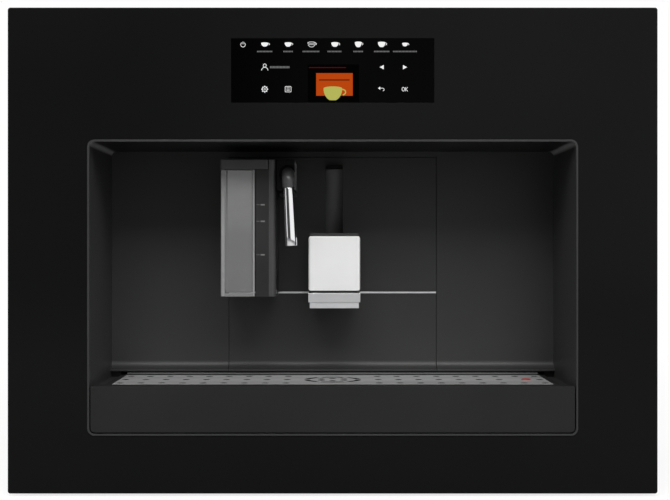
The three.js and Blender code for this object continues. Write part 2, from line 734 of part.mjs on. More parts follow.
function makeSidePanels() {
  const right = cut(
    sidePanel(),
    sideWindow(GROUNDS_FRONT, groundsBack, groundsBottom, groundsTop),
    sideWindow(doorFront, doorBack, doorSill, doorTop),
  );
  const tab = polygon([
    [tabRoot, doorHingeY],
    [doorHingeX, doorHingeY],
    [doorHingeX, doorHingeY + HINGE_TAB],
    [tabRoot, doorHingeY + HINGE_TAB],
  ]);
  const bore = rod("z", PIN_RADIUS + FIT, doorSill - CUT, doorTop + CUT, ...doorHinge, 12);
  piece("side_panel_right", join(right, cut(doorKnuckles([0, 2, 4], tab), bore)), satinBlack);
  const left = cut(sidePanel(), sideWindow(TANK_FRONT, tankBack, tankBottom, tankTop));
  piece("side_panel_left", mirrored(left), satinBlack);
}

// The door carries the hinge pin; a latch tongue springs in behind the edge of the window.
function makeServiceDoor() {
  const sheet = block(bodySide - SHEET, bodySide, doorFront, doorBack, doorSill, doorTop);
  const tab = polygon([
    [tabRoot, doorBack - HINGE_TAB],
    [doorHingeX, doorBack - HINGE_TAB],
    [doorHingeX, doorHingeY],
    [bodySide + FIT, doorHingeY],
    [bodySide + FIT, doorBack],
    [tabRoot, doorBack],
  ]);
  const pin = rod("z", PIN_RADIUS, doorSill + FIT, doorTop - FIT, ...doorHinge, 12);
  const latchZ = doorSill + LATCH_HEIGHT;
  const latch = block(
    bodySide - SHEET - 8, bodySide - SHEET, doorFront + 4, doorFront + 7, latchZ - 10, latchZ + 10,
  );
  piece("service_door", join(sheet, doorKnuckles([1, 3], tab), pin, latch), satinBlack);
}

function makeRearPanel() {
  const top = coverBottom - FIT;
  const half = [[0, panBottom], ...steppedEdge(panLedge + FIT, top), [0, top]];
  const panel = bothSides(extrude("front", polygon(half), rearBack - SHEET, rearBack));
  const slots = [];
  for (let i = 0; i < VENT_SLOTS; i++) {
    const z = top - VENT_MARGIN - VENT_WIDTH - i * VENT_PITCH;
    const slot = block(30, 130, rearBack - SHEET - CUT, rearBack + CUT, z, z + VENT_WIDTH);
    slots.push(bothSides(slot));
  }
  piece("rear_panel", cut(panel, ...slots, inletBody(FIT)), satinBlack);
}

// Lid of the body, with folded edges that reach in beside the side panels.
function makeTopCover() {
  const [z0, z1] = [coverBottom - CUT, BODY_HEIGHT + CUT];
  const edge = bodySide - SHEET - FIT;
  const foldFront = bodyFront + SHEET + FIT;
  const fold = block(edge - SHEET, edge, foldFront, bodyBack, coverBottom - COVER_FOLD, BODY_HEIGHT);
  const sheet = block(-bodySide, bodySide, bodyFront, rearBack, coverBottom, BODY_HEIGHT);
  const cover = cut(
    join(sheet, bothSides(fold)),
    column(GRINDER_X, GRINDER_Y, HOPPER_SIZE / 2 + FIT, z0, z1),
    column(funnelX, brewY, FUNNEL_SIZE / 2 - SHEET, z0, z1),
    rod("z", KNOB_STEM + FIT, z0, z1, knobX, GRINDER_Y, 12),
  );
  piece("top_cover", join(cover, flapHinge.ears), satinBlack);
}

// ---------------------------------------------------------------- hinged lids on top

// Hinge behind the rear edge of a lid. The ears stay with what the lid closes; the knuckles and
// the pin belong to the lid.
function lidHinge({ x, halfLength, rearEdge, base, lidBottom, lidTop, axisZ }) {
  const radius = LID_HINGE_RADIUS;
  const y = rearEdge + radius + FIT;
  const rounded = (from, to, z0, z1) =>
    join(rod("x", radius, x + from, x + to, y, axisZ, 12), block(x + from, x + to, rearEdge - CUT, y, z0, z1));
  const ear = (from, to) =>
    join(rounded(from, to, base, lidBottom - FIT), block(x + from, x + to, y - radius, y + radius, base, axisZ));
  const inside = halfLength - LID_EAR;
  const bore = rod("x", LID_PIN_RADIUS + FIT, x - halfLength - CUT, x + halfLength + CUT, y, axisZ, 10);
  const reach = inside - FIT;
  return {
    ears: cut(join(ear(-halfLength, -inside), ear(inside, halfLength)), bore),
    knuckles: join(
      rounded(-reach, -reach / 3, lidBottom, lidTop),
      rounded(reach / 3, reach, lidBottom, lidTop),
      rod("x", LID_PIN_RADIUS, x - halfLength, x + halfLength, y, axisZ, 10),
    ),
  };
}

const hopperLidBottom = flangeTop + FIT;
const hopperHinge = lidHinge({
  x: GRINDER_X,
  halfLength: 58,
  rearEdge: GRINDER_Y + hopperHalf,
  base: BODY_HEIGHT + FIT,
  lidBottom: hopperLidBottom,
  lidTop: hopperLidBottom + LID_THICKNESS,
  axisZ: hopperLidBottom + LID_HINGE_RADIUS - 0.7,
});

const flapHalf = FUNNEL_SIZE / 2 + FLAP_MARGIN;
const flapBottom = BODY_HEIGHT + FIT;
const flapHinge = lidHinge({
  x: funnelX,
  halfLength: 22,
  rearEdge: brewY + flapHalf,
  base: BODY_HEIGHT - SHEET / 2,
  lidBottom: flapBottom,
  lidTop: flapBottom + FLAP_THICKNESS,
  axisZ: flapBottom + LID_HINGE_RADIUS,
});

function squarePlate(x, y, half, corner, z0, z1) {
  return extrude("plan", roundedRect(x - half, x + half, y - half, y + half, corner), z0, z1, 3);
}

function makeFunnelFlap() {
  const top = flapBottom + FLAP_THICKNESS;
  const plate = squarePlate(funnelX, brewY, flapHalf, 4, flapBottom, top);
  const front = brewY - flapHalf;
  const nib = block(funnelX - 8, funnelX + 8, front + 1, front + 4, flapBottom, top + 1.5);
  piece("ground_coffee_flap", join(plate, flapHinge.knuckles, nib), darkPlastic);
}

// ---------------------------------------------------------------- bean hopper and grinder

// The hopper's outside, or its inside when it is drawn smaller by the wall.
function hopperForm(wall, top, bottom) {
  const half = HOPPER_SIZE / 2 - wall;
  const throat = HOPPER_THROAT / 2 - wall;
  const boxBottom = flangeTop - HOPPER_BOX;
  const throatTop = throatBottom + THROAT_LENGTH;
  return join(
    column(GRINDER_X, GRINDER_Y, half, boxBottom, top),
    frustum(half, throat, throatTop, boxBottom, GRINDER_X, GRINDER_Y),
    column(GRINDER_X, GRINDER_Y, throat, bottom, throatTop),
  );
}

function makeHopper() {
  const flange = squarePlate(GRINDER_X, GRINDER_Y, hopperHalf, 6, BODY_HEIGHT + FIT, flangeTop);
  const outside = join(hopperForm(0, flangeTop, throatBottom), flange);
  const shell = cut(outside, hopperForm(HOPPER_WALL, flangeTop + CUT, throatBottom - CUT));
  piece("bean_hopper", join(shell, hopperHinge.ears), smokedPlastic);

  const plug = HOPPER_SIZE / 2 - HOPPER_WALL - RUN;
  const plugBottom = hopperLidBottom - 3;
  const ring = cut(
    column(GRINDER_X, GRINDER_Y, plug, plugBottom, hopperLidBottom),
    column(GRINDER_X, GRINDER_Y, plug - HOPPER_WALL, plugBottom - CUT, hopperLidBottom + FIT),
  );
  const top = hopperLidBottom + LID_THICKNESS;
  const plate = squarePlate(GRINDER_X, GRINDER_Y, hopperHalf, 6, hopperLidBottom, top);
  piece("bean_hopper_lid", join(plate, ring, hopperHinge.knuckles), smokedPlastic);
}

function makeGrinderMotor() {
  const motor = turned(
    [
      [0, motorBottom],
      [MOTOR_RADIUS - 3, motorBottom],
      [MOTOR_RADIUS, motorBottom + 3],
      [MOTOR_RADIUS, motorTop - 14],
      [MOTOR_RADIUS - 6, motorTop - 10],
      [MOTOR_RADIUS - 6, motorTop],
      [0, motorTop],
    ],
    GRINDER_X,
    GRINDER_Y,
  );
  const foot = deckTop + FIT;
  const [y0, y1] = [GRINDER_Y - STAND_LENGTH / 2, GRINDER_Y + STAND_LENGTH / 2];
  const stand = (side) => {
    const x = GRINDER_X + (side * STAND_SPACING) / 2;
    return block(x - 2, x + 2, y0, y1, foot, motorBottom + 6);
  };
  const half = STAND_SPACING / 2 + 14;
  const sole = block(GRINDER_X - half, GRINDER_X + half, y0, y1, foot, foot + 2.5);
  piece("grinder_motor", join(motor, stand(-1), stand(1), sole), motorSteel);
}

// Bored housing with a closed chute that leads to the brewing unit.
function makeGrinderHousing() {
  const boreBottom = grinderBottom + 18;
  const bored = turned(
    [
      [GRINDER_SHAFT + 1, grinderBottom],
      [GRINDER_RADIUS, grinderBottom],
      [GRINDER_RADIUS, grinderTop - 12],
      [GRINDER_RADIUS - 5, grinderTop - 12],
      [GRINDER_RADIUS - 5, grinderTop],
      [GRINDER_BORE, grinderTop],
      [GRINDER_BORE, boreBottom],
      [GRINDER_SHAFT + 1, boreBottom - 4],
      [GRINDER_SHAFT + 1, grinderBottom],
    ],
    GRINDER_X,
    GRINDER_Y,
  );
  const start = GRINDER_X + GRINDER_BORE + 5;
  const end = BREW_X - BREW_WIDTH / 2 - FIT;
  const mouth = brewTop - 52;
  const outline = polygon([
    [start, grinderBottom + 8],
    [end - 14, mouth],
    [end, mouth],
    [end, mouth + 18],
    [start, grinderBottom + 32],
  ]);
  const chute = extrude("front", outline, GRINDER_Y - 13, GRINDER_Y + 13);
  const clearOfBore = rod("z", GRINDER_BORE + 4, grinderBottom, grinderTop, GRINDER_X, GRINDER_Y, 24);
  piece("grinder_housing", join(bored, cut(chute, clearOfBore)), castAluminium);
}

// Conical burr on its shaft, with flutes cut across the cone.
function makeBurr() {
  const bottom = grinderBottom + 20;
  const radius = GRINDER_BORE - BURR_PLAY;
  const cone = turned(
    [
      [0, grinderBottom + FIT],
      [GRINDER_SHAFT, grinderBottom + FIT],
      [GRINDER_SHAFT, bottom],
      [radius, bottom],
      [radius, bottom + 8],
      [radius / 2, bottom + 26],
      [0, bottom + 28],
    ],
    GRINDER_X,
    GRINDER_Y,
    16,
  );
  const flutes = [];
  for (let i = 0; i < BURR_FLUTES / 2; i++) {
    const slot = new THREE.BoxGeometry(2 * GRINDER_BORE, 1.6, 30);
    slot.rotateZ(((i + 0.5) * 2 * PI) / BURR_FLUTES).translate(GRINDER_X, GRINDER_Y, bottom + 26);
    flutes.push(solid(slot));
  }
  piece("grinder_burr", cut(cone, ...flutes), motorSteel);
}

// A knob with a fluted edge, on a stem through the top cover with a collar below it.
function makeGrindKnob() {
  const rim = [];
  const points = KNOB_FLUTES * 4;
  for (let i = 0; i < points; i++) {
    const angle = (i / points) * 2 * PI;
    const radius = KNOB_RADIUS - 0.35 * (1 - Math.cos(KNOB_FLUTES * angle));
    rim.push([knobX + radius * Math.cos(angle), GRINDER_Y + radius * Math.sin(angle)]);
  }
  const bottom = BODY_HEIGHT + FIT;
  const top = bottom + KNOB_HEIGHT;
  const disc = extrude("plan", polygon(rim), bottom, top);
  const pointer = block(knobX - 1, knobX + 1, GRINDER_Y - KNOB_RADIUS - CUT, GRINDER_Y, top - 1, top + CUT);
  const stemBottom = coverBottom - 6;
  const stem = rod("z", KNOB_STEM, stemBottom, bottom + CUT, knobX, GRINDER_Y, 12);
  const collar = rod("z", KNOB_STEM + 4, stemBottom, coverBottom - FIT, knobX, GRINDER_Y, 12);
  piece("grind_knob", join(cut(disc, pointer), stem, collar), darkPlastic);
}

// ---------------------------------------------------------------- front panel

// Outline of the recess, and of the touch panel, grown by the given amount and drawn along y.
function recessWindow(grow, y0, y1) {
  const side = recessSide + grow;
  const corner = RECESS_CORNER + grow;
  return extrude("front", roundedRect(-side, side, recessFloor - grow, recessCeiling + grow, corner), y0, y1);
}

function touchWindow(grow, y0, y1) {
  const side = TOUCH_WIDTH / 2 + grow;
  return block(-side, side, y0, y1, touchBottom - grow, touchTop + grow);
}

function makeFrontGlass() {
  const outline = roundedRect(-panelSide, panelSide, PANEL_LIFT, panelTop, PANEL_CORNER);
  const sheet = extrude("front", outline, GLASS_SETBACK, glassBack);
  const back = glassBack + CUT;
  const glass = cut(sheet, recessWindow(LINER_WALL + FIT, 0, back), touchWindow(FIT, 0, back));
  piece("front_glass", glass, blackGlass);
  piece("touch_panel", touchWindow(0, GLASS_SETBACK, glassBack), touchGlass);
}

// Tray behind the glass: a skin, with a wall round its edge and round each window.
function makeFrontFrame() {
  const plate = (inset, y0, y1) => {
    const side = panelSide - FRAME_INSET - inset;
    const [z0, z1] = [PANEL_LIFT + FRAME_INSET + inset, panelTop - FRAME_INSET - inset];
    return extrude("front", roundedRect(-side, side, z0, z1, FRAME_CORNER), y0, y1, 3);
  };
  const skinBack = frameFront + FRAME_WALL;
  const recessGap = LINER_WALL + FIT;
  const tray = cut(plate(0, frameFront, frameBack), plate(FRAME_WALL, skinBack, frameBack + CUT));
  const collars = join(
    recessWindow(recessGap + FRAME_WALL, frameFront, frameBack),
    touchWindow(FRAME_WALL - TOUCH_SUPPORT, frameFront, frameBack),
  );
  const frame = cut(
    join(tray, collars),
    recessWindow(recessGap, 0, frameBack + CUT),
    touchWindow(-TOUCH_SUPPORT, 0, frameBack + CUT),
  );
  piece("front_frame", frame, darkPlastic);
}

// The display behind the touch panel, and the board that it plugs into.
function makeElectronics() {
  const displayBack = frameFront + DISPLAY_DEPTH;
  const bottom = touchBottom + TOUCH_SUPPORT + RUN;
  const half = DISPLAY_WIDTH / 2;
  const display = block(-half, half, frameFront, displayBack, bottom, bottom + DISPLAY_HEIGHT);
  piece("display_module", display, darkPlastic);

  const y0 = displayBack + FIT;
  const y1 = y0 + BOARD_THICKNESS;
  const side = TOUCH_WIDTH / 2 - TOUCH_SUPPORT - RUN;
  const board = block(-side, side, y0, y1, bottom, touchTop - TOUCH_SUPPORT - RUN);
  const connector = block(-side + 18, -side + 42, y1, y1 + 6, bottom + 8, bottom + 30);
  const processor = block(-8, 8, y1, y1 + 2, bottom + 14, bottom + 30);
  const relay = block(side - 48, side - 16, y1, y1 + 9, bottom + 5, bottom + 17);
  const capacitors = [28, 42].map((x) => rod("y", 5, y1, y1 + 12, side - x, bottom + 33, 12));
  piece("control_board", join(board, connector, processor, relay, ...capacitors), boardGreen);
}

// ---------------------------------------------------------------- recess

// Cove at the foot of the back wall, as an outline in (y, z) that ends in a given wall.
function coveOutline(wallFoot, wallTop, back) {
  const bottom = pocketCeiling + FIT;
  const edgeTop = bottom + SPLASH_EDGE;
  const front = RECESS_DEPTH - SPLASH_LIP;
  const shape = new THREE.Shape();
  shape.moveTo(front, bottom);
  shape.lineTo(RECESS_DEPTH - FIT, bottom);
  shape.lineTo(RECESS_DEPTH - FIT, wallFoot);
  shape.lineTo(back, wallFoot);
  shape.lineTo(back, wallTop);
  shape.lineTo(RECESS_DEPTH, wallTop);
  shape.absarc(front, edgeTop + SPLASH_LIP, SPLASH_LIP, 0, -PI / 2, true);
  shape.lineTo(front, bottom);
  return shape;
}

// One moulding: lip, side walls, ceiling and back wall, with the pocket for the drip tray below.
function makeRecessLiner() {
  const w = LINER_WALL;
  const room = (grow, front, back) => {
    const side = recessSide + grow;
    const corner = RECESS_CORNER + grow;
    const outline = roundedRect(-side, side, ledgeTop - grow, recessCeiling + grow, 0.5, corner);
    return extrude("front", outline, front, back);
  };
  const pocket = (grow, front, top) => {
    const side = pocketSide + grow;
    return block(-side, side, front, pocketBack + grow, recessFloor - grow, top);
  };
  const outside = join(recessWindow(w, 0, LEDGE_FRONT + w), room(w, 0, wallBack), pocket(w, 0, pocketTop));
  const inside = join(
    recessWindow(0, -CUT, LEDGE_FRONT), room(0, -CUT, RECESS_DEPTH), pocket(0, -CUT, pocketCeiling),
  );
  const opening = fasciaSide + SEAM;
  const wallTop = pocketCeiling + FIT + SPLASH_EDGE + SPLASH_LIP;
  const coveShape = coveOutline(pocketTop - w / 2, wallTop, wallBack);
  const cove = extrude("side", coveShape, opening, recessSide + w / 2, 6);
  const [y0, y1] = [RECESS_DEPTH - CUT, wallBack + CUT];
  const fasciaWindow = block(-opening, opening, y0, y1, pocketTop, fasciaTop + SEAM);
  piece("recess_liner", join(cut(outside, inside, fasciaWindow), bothSides(cove)), recessGrey);
}

// The centre of the back wall is a separate fascia in two fields with a bright trim between them.
function makeFascia() {
  const flangeSide = fasciaSide + FASCIA_FLANGE;
  const field = (z0, z1) => block(-fasciaSide, fasciaSide, RECESS_DEPTH, fasciaBack, z0, z1);
  const flange = (z0, z1) => block(-flangeSide, flangeSide, flangeFront, fasciaBack, z0, z1);
  const [y0, y1] = [RECESS_DEPTH - CUT, fasciaBack + CUT];
  const half = GROOVE_WIDTH / 2;
  const slot = block(DISPENSER_X - half, DISPENSER_X + half, y0, y1, grooveBottom, grooveTop);
  const pipeHole = rod("y", DOCK_BOSS + FIT, y0, y1, stubX, spoutZ, 16);
  const foot = trimTop + FIT;
  const upper = join(field(foot, fasciaTop), flange(foot, fasciaTop + FASCIA_FLANGE));
  piece("upper_fascia", cut(upper, slot, pipeHole), recessGrey);

  const trim = block(-fasciaSide, fasciaSide, RECESS_DEPTH - TRIM_PROUD, fasciaBack, trimBottom, trimTop);
  piece("fascia_trim", trim, chrome);

  const [z0, z1] = [pocketTop + FIT, trimBottom - FIT];
  const lower = extrude("side", coveOutline(z0, z1, fasciaBack), -fasciaSide, fasciaSide, 6);
  piece("lower_fascia", join(lower, flange(z0, z1)), recessGrey);
}

// U-shaped groove behind the fascia, in which the dispenser's runner slides, seen from above.
function grooveOutline(radius, front) {
  const shape = new THREE.Shape();
  shape.moveTo(DISPENSER_X - radius, front);
  shape.lineTo(DISPENSER_X + radius, front);
  shape.absarc(DISPENSER_X, grooveMiddle, radius, 0, PI);
  shape.lineTo(DISPENSER_X - radius, front);
  return shape;
}

function makeSpoutChannel() {
  const side = GROOVE_RADIUS + GROOVE_WALL;
  const end = 2 * GROOVE_WALL;
  const trough = block(
    DISPENSER_X - side, DISPENSER_X + side, grooveFront, troughBack, grooveBottom - end, grooveTop + end,
  );
  const outline = grooveOutline(GROOVE_RADIUS, grooveFront - CUT);
  const groove = extrude("plan", outline, grooveBottom, grooveTop, 10);
  const half = HOSE_RADIUS + RUN;
  const [z0, z1] = [nippleHeight - half, nippleHeight + DISPENSER_LIFT + half];
  const slit = block(DISPENSER_X - half, DISPENSER_X + half, grooveMiddle, troughBack + CUT, z0, z1);
  piece("spout_channel", cut(trough, groove, slit), recessGrey);
}

// ---------------------------------------------------------------- coffee dispenser

// Outline of the dispenser seen from above, drawn smaller than its width by an inset.
function dispenserOutline(inset) {
  const side = dispenserSide - inset;
  const front = DISPENSER_FRONT + inset;
  const shoulder = DISPENSER_BACK - DISPENSER_TAPER;
  return polygon([
    [DISPENSER_X - side, front],
    [DISPENSER_X + side, front],
    [DISPENSER_X + side, shoulder],
    [DISPENSER_X + side / 2, DISPENSER_BACK],
    [DISPENSER_X - side / 2, DISPENSER_BACK],
    [DISPENSER_X - side, shoulder],
  ]);
}

// Body with a neck through the slot of the fascia, a runner in the groove and a hose nipple.
function makeDispenserBody() {
  const inset = PLATE_THICKNESS + FIT;
  const capTop = plateTop + CAP_HEIGHT;
  const runnerTop = capTop - 1;
  const runnerBottom = grooveBottom + RUN;
  const runnerFront = fasciaBack + RUN;
  const neck = GROOVE_WIDTH / 2 - RUN;
  const [x0, x1] = [DISPENSER_X - neck, DISPENSER_X + neck];
  const runner = grooveOutline(GROOVE_RADIUS - RUN, runnerFront);
  const body = join(
    extrude("plan", dispenserOutline(inset), plateBottom, capTop),
    extrude("plan", dispenserOutline(inset + SEAM_INSET), baseTop + FIT, plateBottom),
    block(x0, x1, DISPENSER_BACK - CUT, runnerFront + CUT, runnerBottom, runnerTop),
    extrude("plan", runner, runnerBottom, runnerTop, 8),
    rod("y", HOSE_RADIUS, grooveMiddle, nippleEnd, DISPENSER_X, nippleHeight, 12),
  );
  piece("dispenser_body", body, darkPlastic);
}

// The plate is folded round the front and both sides.
function makeDispenserPlate() {
  const [x0, x1] = [DISPENSER_X - dispenserSide, DISPENSER_X + dispenserSide];
  const back = DISPENSER_FRONT + PLATE_WRAP;
  const face = roundedRect(x0, x1, plateBottom, plateTop, PLATE_CORNER);
  const sheet = extrude("front", face, DISPENSER_FRONT, back, 4);
  const t = PLATE_THICKNESS;
  const hollow = block(
    x0 + t, x1 - t, DISPENSER_FRONT + t, back + CUT, plateBottom - CUT, plateTop + CUT,
  );
  piece("dispenser_plate", cut(sheet, hollow), satinSteel);
}

// Base: a slanting band above a narrower lip, open below for the outlet.
function makeDispenserBase() {
  const [x0, x1] = [DISPENSER_X - dispenserSide, DISPENSER_X + dispenserSide];
  const [front, back] = [DISPENSER_FRONT, DISPENSER_FRONT + BASE_DEPTH];
  const profile = polygon([
    [front + BASE_SLANT, baseBottom],
    [back - BASE_SLANT, baseBottom],
    [back, baseTop],
    [front, baseTop],
  ]);
  const inner = (inset, z0, z1) =>
    block(x0 + inset, x1 - inset, front + BASE_SLANT + inset, back - BASE_SLANT - inset, z0, z1);
  const lip = inner(LIP_INSET, dispenserBottom, baseBottom);
  const cavity = inner(LIP_INSET + BASE_WALL, dispenserBottom - CUT, baseTop - BASE_WALL);
  piece("dispenser_base", cut(join(extrude("side", profile, x0, x1), lip), cavity), chrome);
}

// Outlet: a splitter bar with two bored nozzles.
function makeCoffeeOutlet() {
  const top = baseTop - BASE_WALL - FIT;
  const bottom = top - NOZZLE_BAR;
  const end = bottom - NOZZLE_LENGTH;
  const y = DISPENSER_FRONT + BASE_DEPTH / 2;
  const half = NOZZLE_SPACING / 2 + 5;
  const bar = block(DISPENSER_X - half, DISPENSER_X + half, y - 5, y + 5, bottom, top);
  const profile = [
    [NOZZLE_BORE, end],
    [NOZZLE_RADIUS - 0.5, end],
    [NOZZLE_RADIUS, bottom],
    [NOZZLE_BORE, bottom],
    [NOZZLE_BORE, end],
  ];
  const nozzle = (side) => turned(profile, DISPENSER_X + (side * NOZZLE_SPACING) / 2, y, 12);
  piece("coffee_outlet", join(bar, nozzle(-1), nozzle(1)), darkPlastic);
}

// ---------------------------------------------------------------- milk carafe

function makeJug() {
  const [y0, y1, w] = [CARAFE_FRONT, carafeBack, JUG_WALL];
  const inner = JUG_CORNER - w / 2;
  const outside = roundedRect(CARAFE_LEFT, jugRight, y0, y1, JUG_CORNER);
  const inside = roundedRect(CARAFE_LEFT + w, jugRight - w, y0 + w, y1 - w, inner);
  const cavity = extrude("plan", inside, carafeBottom + w, jugTop + CUT, 3);
  piece("milk_jug", cut(extrude("plan", outside, carafeBottom, jugTop, 4), cavity), clearPlastic);

  // the lid's plug reaches into the jug
  const p = w + FIT;
  const rim = roundedRect(CARAFE_LEFT, columnLeft - FIT, y0, y1, 1.5);
  const plug = roundedRect(CARAFE_LEFT + p, jugRight - p, y0 + p, y1 - p, inner);
  const lid = join(
    extrude("plan", rim, lidBottom, carafeTop, 2),
    extrude("plan", plug, lidBottom - LID_PLUG, lidBottom, 3),
  );
  piece("jug_lid", lid, gripPlastic);
}

// Grip with round right corners, a column beside the lid and a hollow for the fingers.
function makeGrip() {
  const [y0, y1, r] = [CARAFE_FRONT, carafeBack, GRIP_CORNER];
  const outline = (left) => {
    const shape = new THREE.Shape();
    shape.moveTo(left, y0);
    shape.lineTo(CARAFE_RIGHT - r, y0);
    shape.absarc(CARAFE_RIGHT - r, y0 + r, r, -PI / 2, 0);
    shape.lineTo(CARAFE_RIGHT, y1 - r);
    shape.absarc(CARAFE_RIGHT - r, y1 - r, r, 0, PI / 2);
    shape.lineTo(left, y1);
    return shape;
  };
  const middle = (y0 + y1) / 2;
  const fingerBottom = carafeBottom + FINGER_BOTTOM;
  const fingers = block(
    CARAFE_RIGHT - FINGER_DEPTH, CARAFE_RIGHT + CUT,
    middle - FINGER_LENGTH / 2, middle + FINGER_LENGTH / 2, fingerBottom, fingerBottom + FINGER_HEIGHT,
  );
  const grip = join(
    extrude("plan", outline(gripLeft), carafeBottom, jugTop),
    extrude("plan", outline(columnLeft), jugTop, carafeTop),
  );
  piece("jug_grip", cut(grip, fingers), gripPlastic);
}

// Block beside the grip, with a round recess for the elbow and a socket for the steam stub.
function makeFrotherHead() {
  const outline = roundedRect(headLeft, headRight, headFront, carafeBack, 1, 2);
  const head = cut(
    extrude("plan", outline, headBottom, carafeTop, 2),
    rod("y", SOCKET_RADIUS, headFront - CUT, headFront + SOCKET_DEPTH, spoutX, spoutZ, 24),
    rod("y", STUB_RADIUS + FIT, carafeBack - STUB_LENGTH - FIT, carafeBack + CUT, stubX, spoutZ, 12),
  );
  piece("frother_head", head, darkPlastic);
}

// Drawn about the pivot, with the tube hanging down, then leant towards the coffee dispenser.
function makeMilkSpout() {
  const spout = new THREE.Group();
  spout.position.set(spoutX, spoutY, spoutZ);
  spout.rotation.y = -SPOUT_LEAN * RADIAN;
  machine.add(spout);

  const shaftEnd = SPOUT_AHEAD + SOCKET_DEPTH - FIT;
  const tenon = SPOUT_TOP_RADIUS - 1;
  const drop = [
    [0, -SPOUT_COLLAR],
    [ELBOW_RADIUS - 0.8, -SPOUT_COLLAR],
    [ELBOW_RADIUS, 0],
    [0, 0],
  ];
  const elbow = join(
    solid(new THREE.SphereGeometry(ELBOW_RADIUS, 16, 10).rotateX(PI / 2)),
    rod("y", ELBOW_RADIUS, 0, shaftEnd, 0, 0, 16),
    turned(drop, 0, 0, 16),
  );
  const socketTop = -SPOUT_COLLAR + SPOUT_TENON + FIT;
  const socket = rod("z", tenon + FIT, -SPOUT_COLLAR - CUT, socketTop, 0, 0, 16);
  piece("milk_spout_elbow", cut(elbow, socket), gripPlastic, spout);

  const tubeTop = -SPOUT_COLLAR - FIT;
  const wall = [
    [SPOUT_BORE, -SPOUT_LENGTH],
    [SPOUT_END_RADIUS - 0.4, -SPOUT_LENGTH],
    [SPOUT_END_RADIUS, -SPOUT_LENGTH + 0.6],
    [SPOUT_TOP_RADIUS, tubeTop],
    [tenon, tubeTop],
    [tenon, tubeTop + SPOUT_TENON],
    [SPOUT_BORE, tubeTop + SPOUT_TENON],
    [SPOUT_BORE, -SPOUT_LENGTH],
  ];
  piece("milk_spout_tube", turned(wall, 0, 0, 24), chrome, spout);
}

// Plate on the wall with the rail the carafe slides onto, the steam stub and a boss for its pipe.
function makeCarafeDock() {
  const back = RECESS_DEPTH - FIT;
  const front = back - DOCK_THICKNESS;
  const railTop = headBottom - FIT;
  const railBottom = railTop - RAIL_THICKNESS;
  const plate = roundedRect(headLeft, headRight, railBottom, carafeTop - 2, 1.5);
  const dock = join(
    extrude("front", plate, front, back, 2),
    block(headLeft + 1.5, headRight - 1.5, back - DOCK_RAIL, back, railBottom, railTop),
    rod("y", STUB_RADIUS, front - STUB_LENGTH, back, stubX, spoutZ, 12),
    rod("y", DOCK_BOSS, back - CUT, bossEnd, stubX, spoutZ, 16),
  );
  piece("carafe_dock", dock, darkPlastic);
}

// ---------------------------------------------------------------- drip tray

// Front: a plate with round lower corners and a ledge back to the rim of the basin.
function makeTrayFront() {
  const side = recessSide - TRAY_GAP;
  const back = TRAY_SETBACK + TRAY_FRONT_THICKNESS;
  const face = roundedRect(-side, side, trayBottom, trayTop, TRAY_CORNER, 0.8);
  const plate = extrude("front", face, TRAY_SETBACK, back, 4);
  const ledge = block(-side, side, back - CUT, TRAY_LEDGE, trayTop - TRAY_LEDGE_THICKNESS, trayTop);
  piece("tray_front", join(plate, ledge), satinBlack);
}

// Basin: an open box, with a rim that carries the grille on an inner shelf.
function makeTrayBasin() {
  const front = TRAY_SETBACK + TRAY_FRONT_THICKNESS + FIT;
  const wallTop = trayTop - TRAY_LEDGE_THICKNESS - FIT;
  const w = TRAY_WALL;
  const outer = block(-traySide, traySide, front, TRAY_LENGTH, trayBottom, wallTop);
  const cavity = block(
    -traySide + w, traySide - w, front + w, TRAY_LENGTH - w, trayBottom + w, trayTop + CUT,
  );
  const rimBottom = grilleTop - RIM_DEPTH;
  const rimBack = GRILLE_BACK + FIT + RIM_WIDTH;
  const rim = block(-traySide, traySide, rimFront, rimBack, rimBottom, grilleTop);
  const opening = (grow, z0) => {
    const side = grilleSide + grow;
    return block(-side, side, grilleFront - grow, GRILLE_BACK + grow, z0, grilleTop + CUT);
  };
  const seat = opening(FIT, grilleTop - GRILLE_THICKNESS - FIT);
  const through = opening(-RIM_SHELF, rimBottom - CUT);
  piece("tray_basin", join(cut(outer, cavity), cut(rim, seat, through)), satinBlack);
}

// Steel grille: rows of round holes, a rosette of curved slots in the middle and the float's hole.
function makeGrille() {
  const outline = polygon([
    [-grilleSide, grilleFront],
    [grilleSide, grilleFront],
    [grilleSide, GRILLE_BACK],
    [-grilleSide, GRILLE_BACK],
  ]);
  const punch = (x, y, radius) => {
    const hole = new THREE.Path();
    hole.absarc(x, y, radius, 0, 2 * PI, true);
    outline.holes.push(hole);
  };
  const columns = Math.floor((grilleSide - HOLES_FROM_MIDDLE - 2 * HOLE_RADIUS) / HOLE_PITCH_X) + 1;
  for (let row = 0; row < HOLE_ROWS; row++) {
    const y = grilleMiddle + (row - (HOLE_ROWS - 1) / 2) * HOLE_PITCH_Y;
    for (let place = 0; place < columns; place++) {
      const x = HOLES_FROM_MIDDLE + place * HOLE_PITCH_X;
      const nearFloat = Math.hypot(x - FLOAT_X, y - grilleMiddle) < FLOAT_CAP + 2.8 * HOLE_RADIUS;
      punch(-x, y, HOLE_RADIUS);
      if (!nearFloat) punch(x, y, HOLE_RADIUS);
    }
  }
  punch(FLOAT_X, grilleMiddle, FLOAT_CAP + RUN);
  punchRosette(outline, punch);
  piece("drip_grille", extrude("plan", outline, grilleTop - GRILLE_THICKNESS, grilleTop, 4), grilleSteel);
}

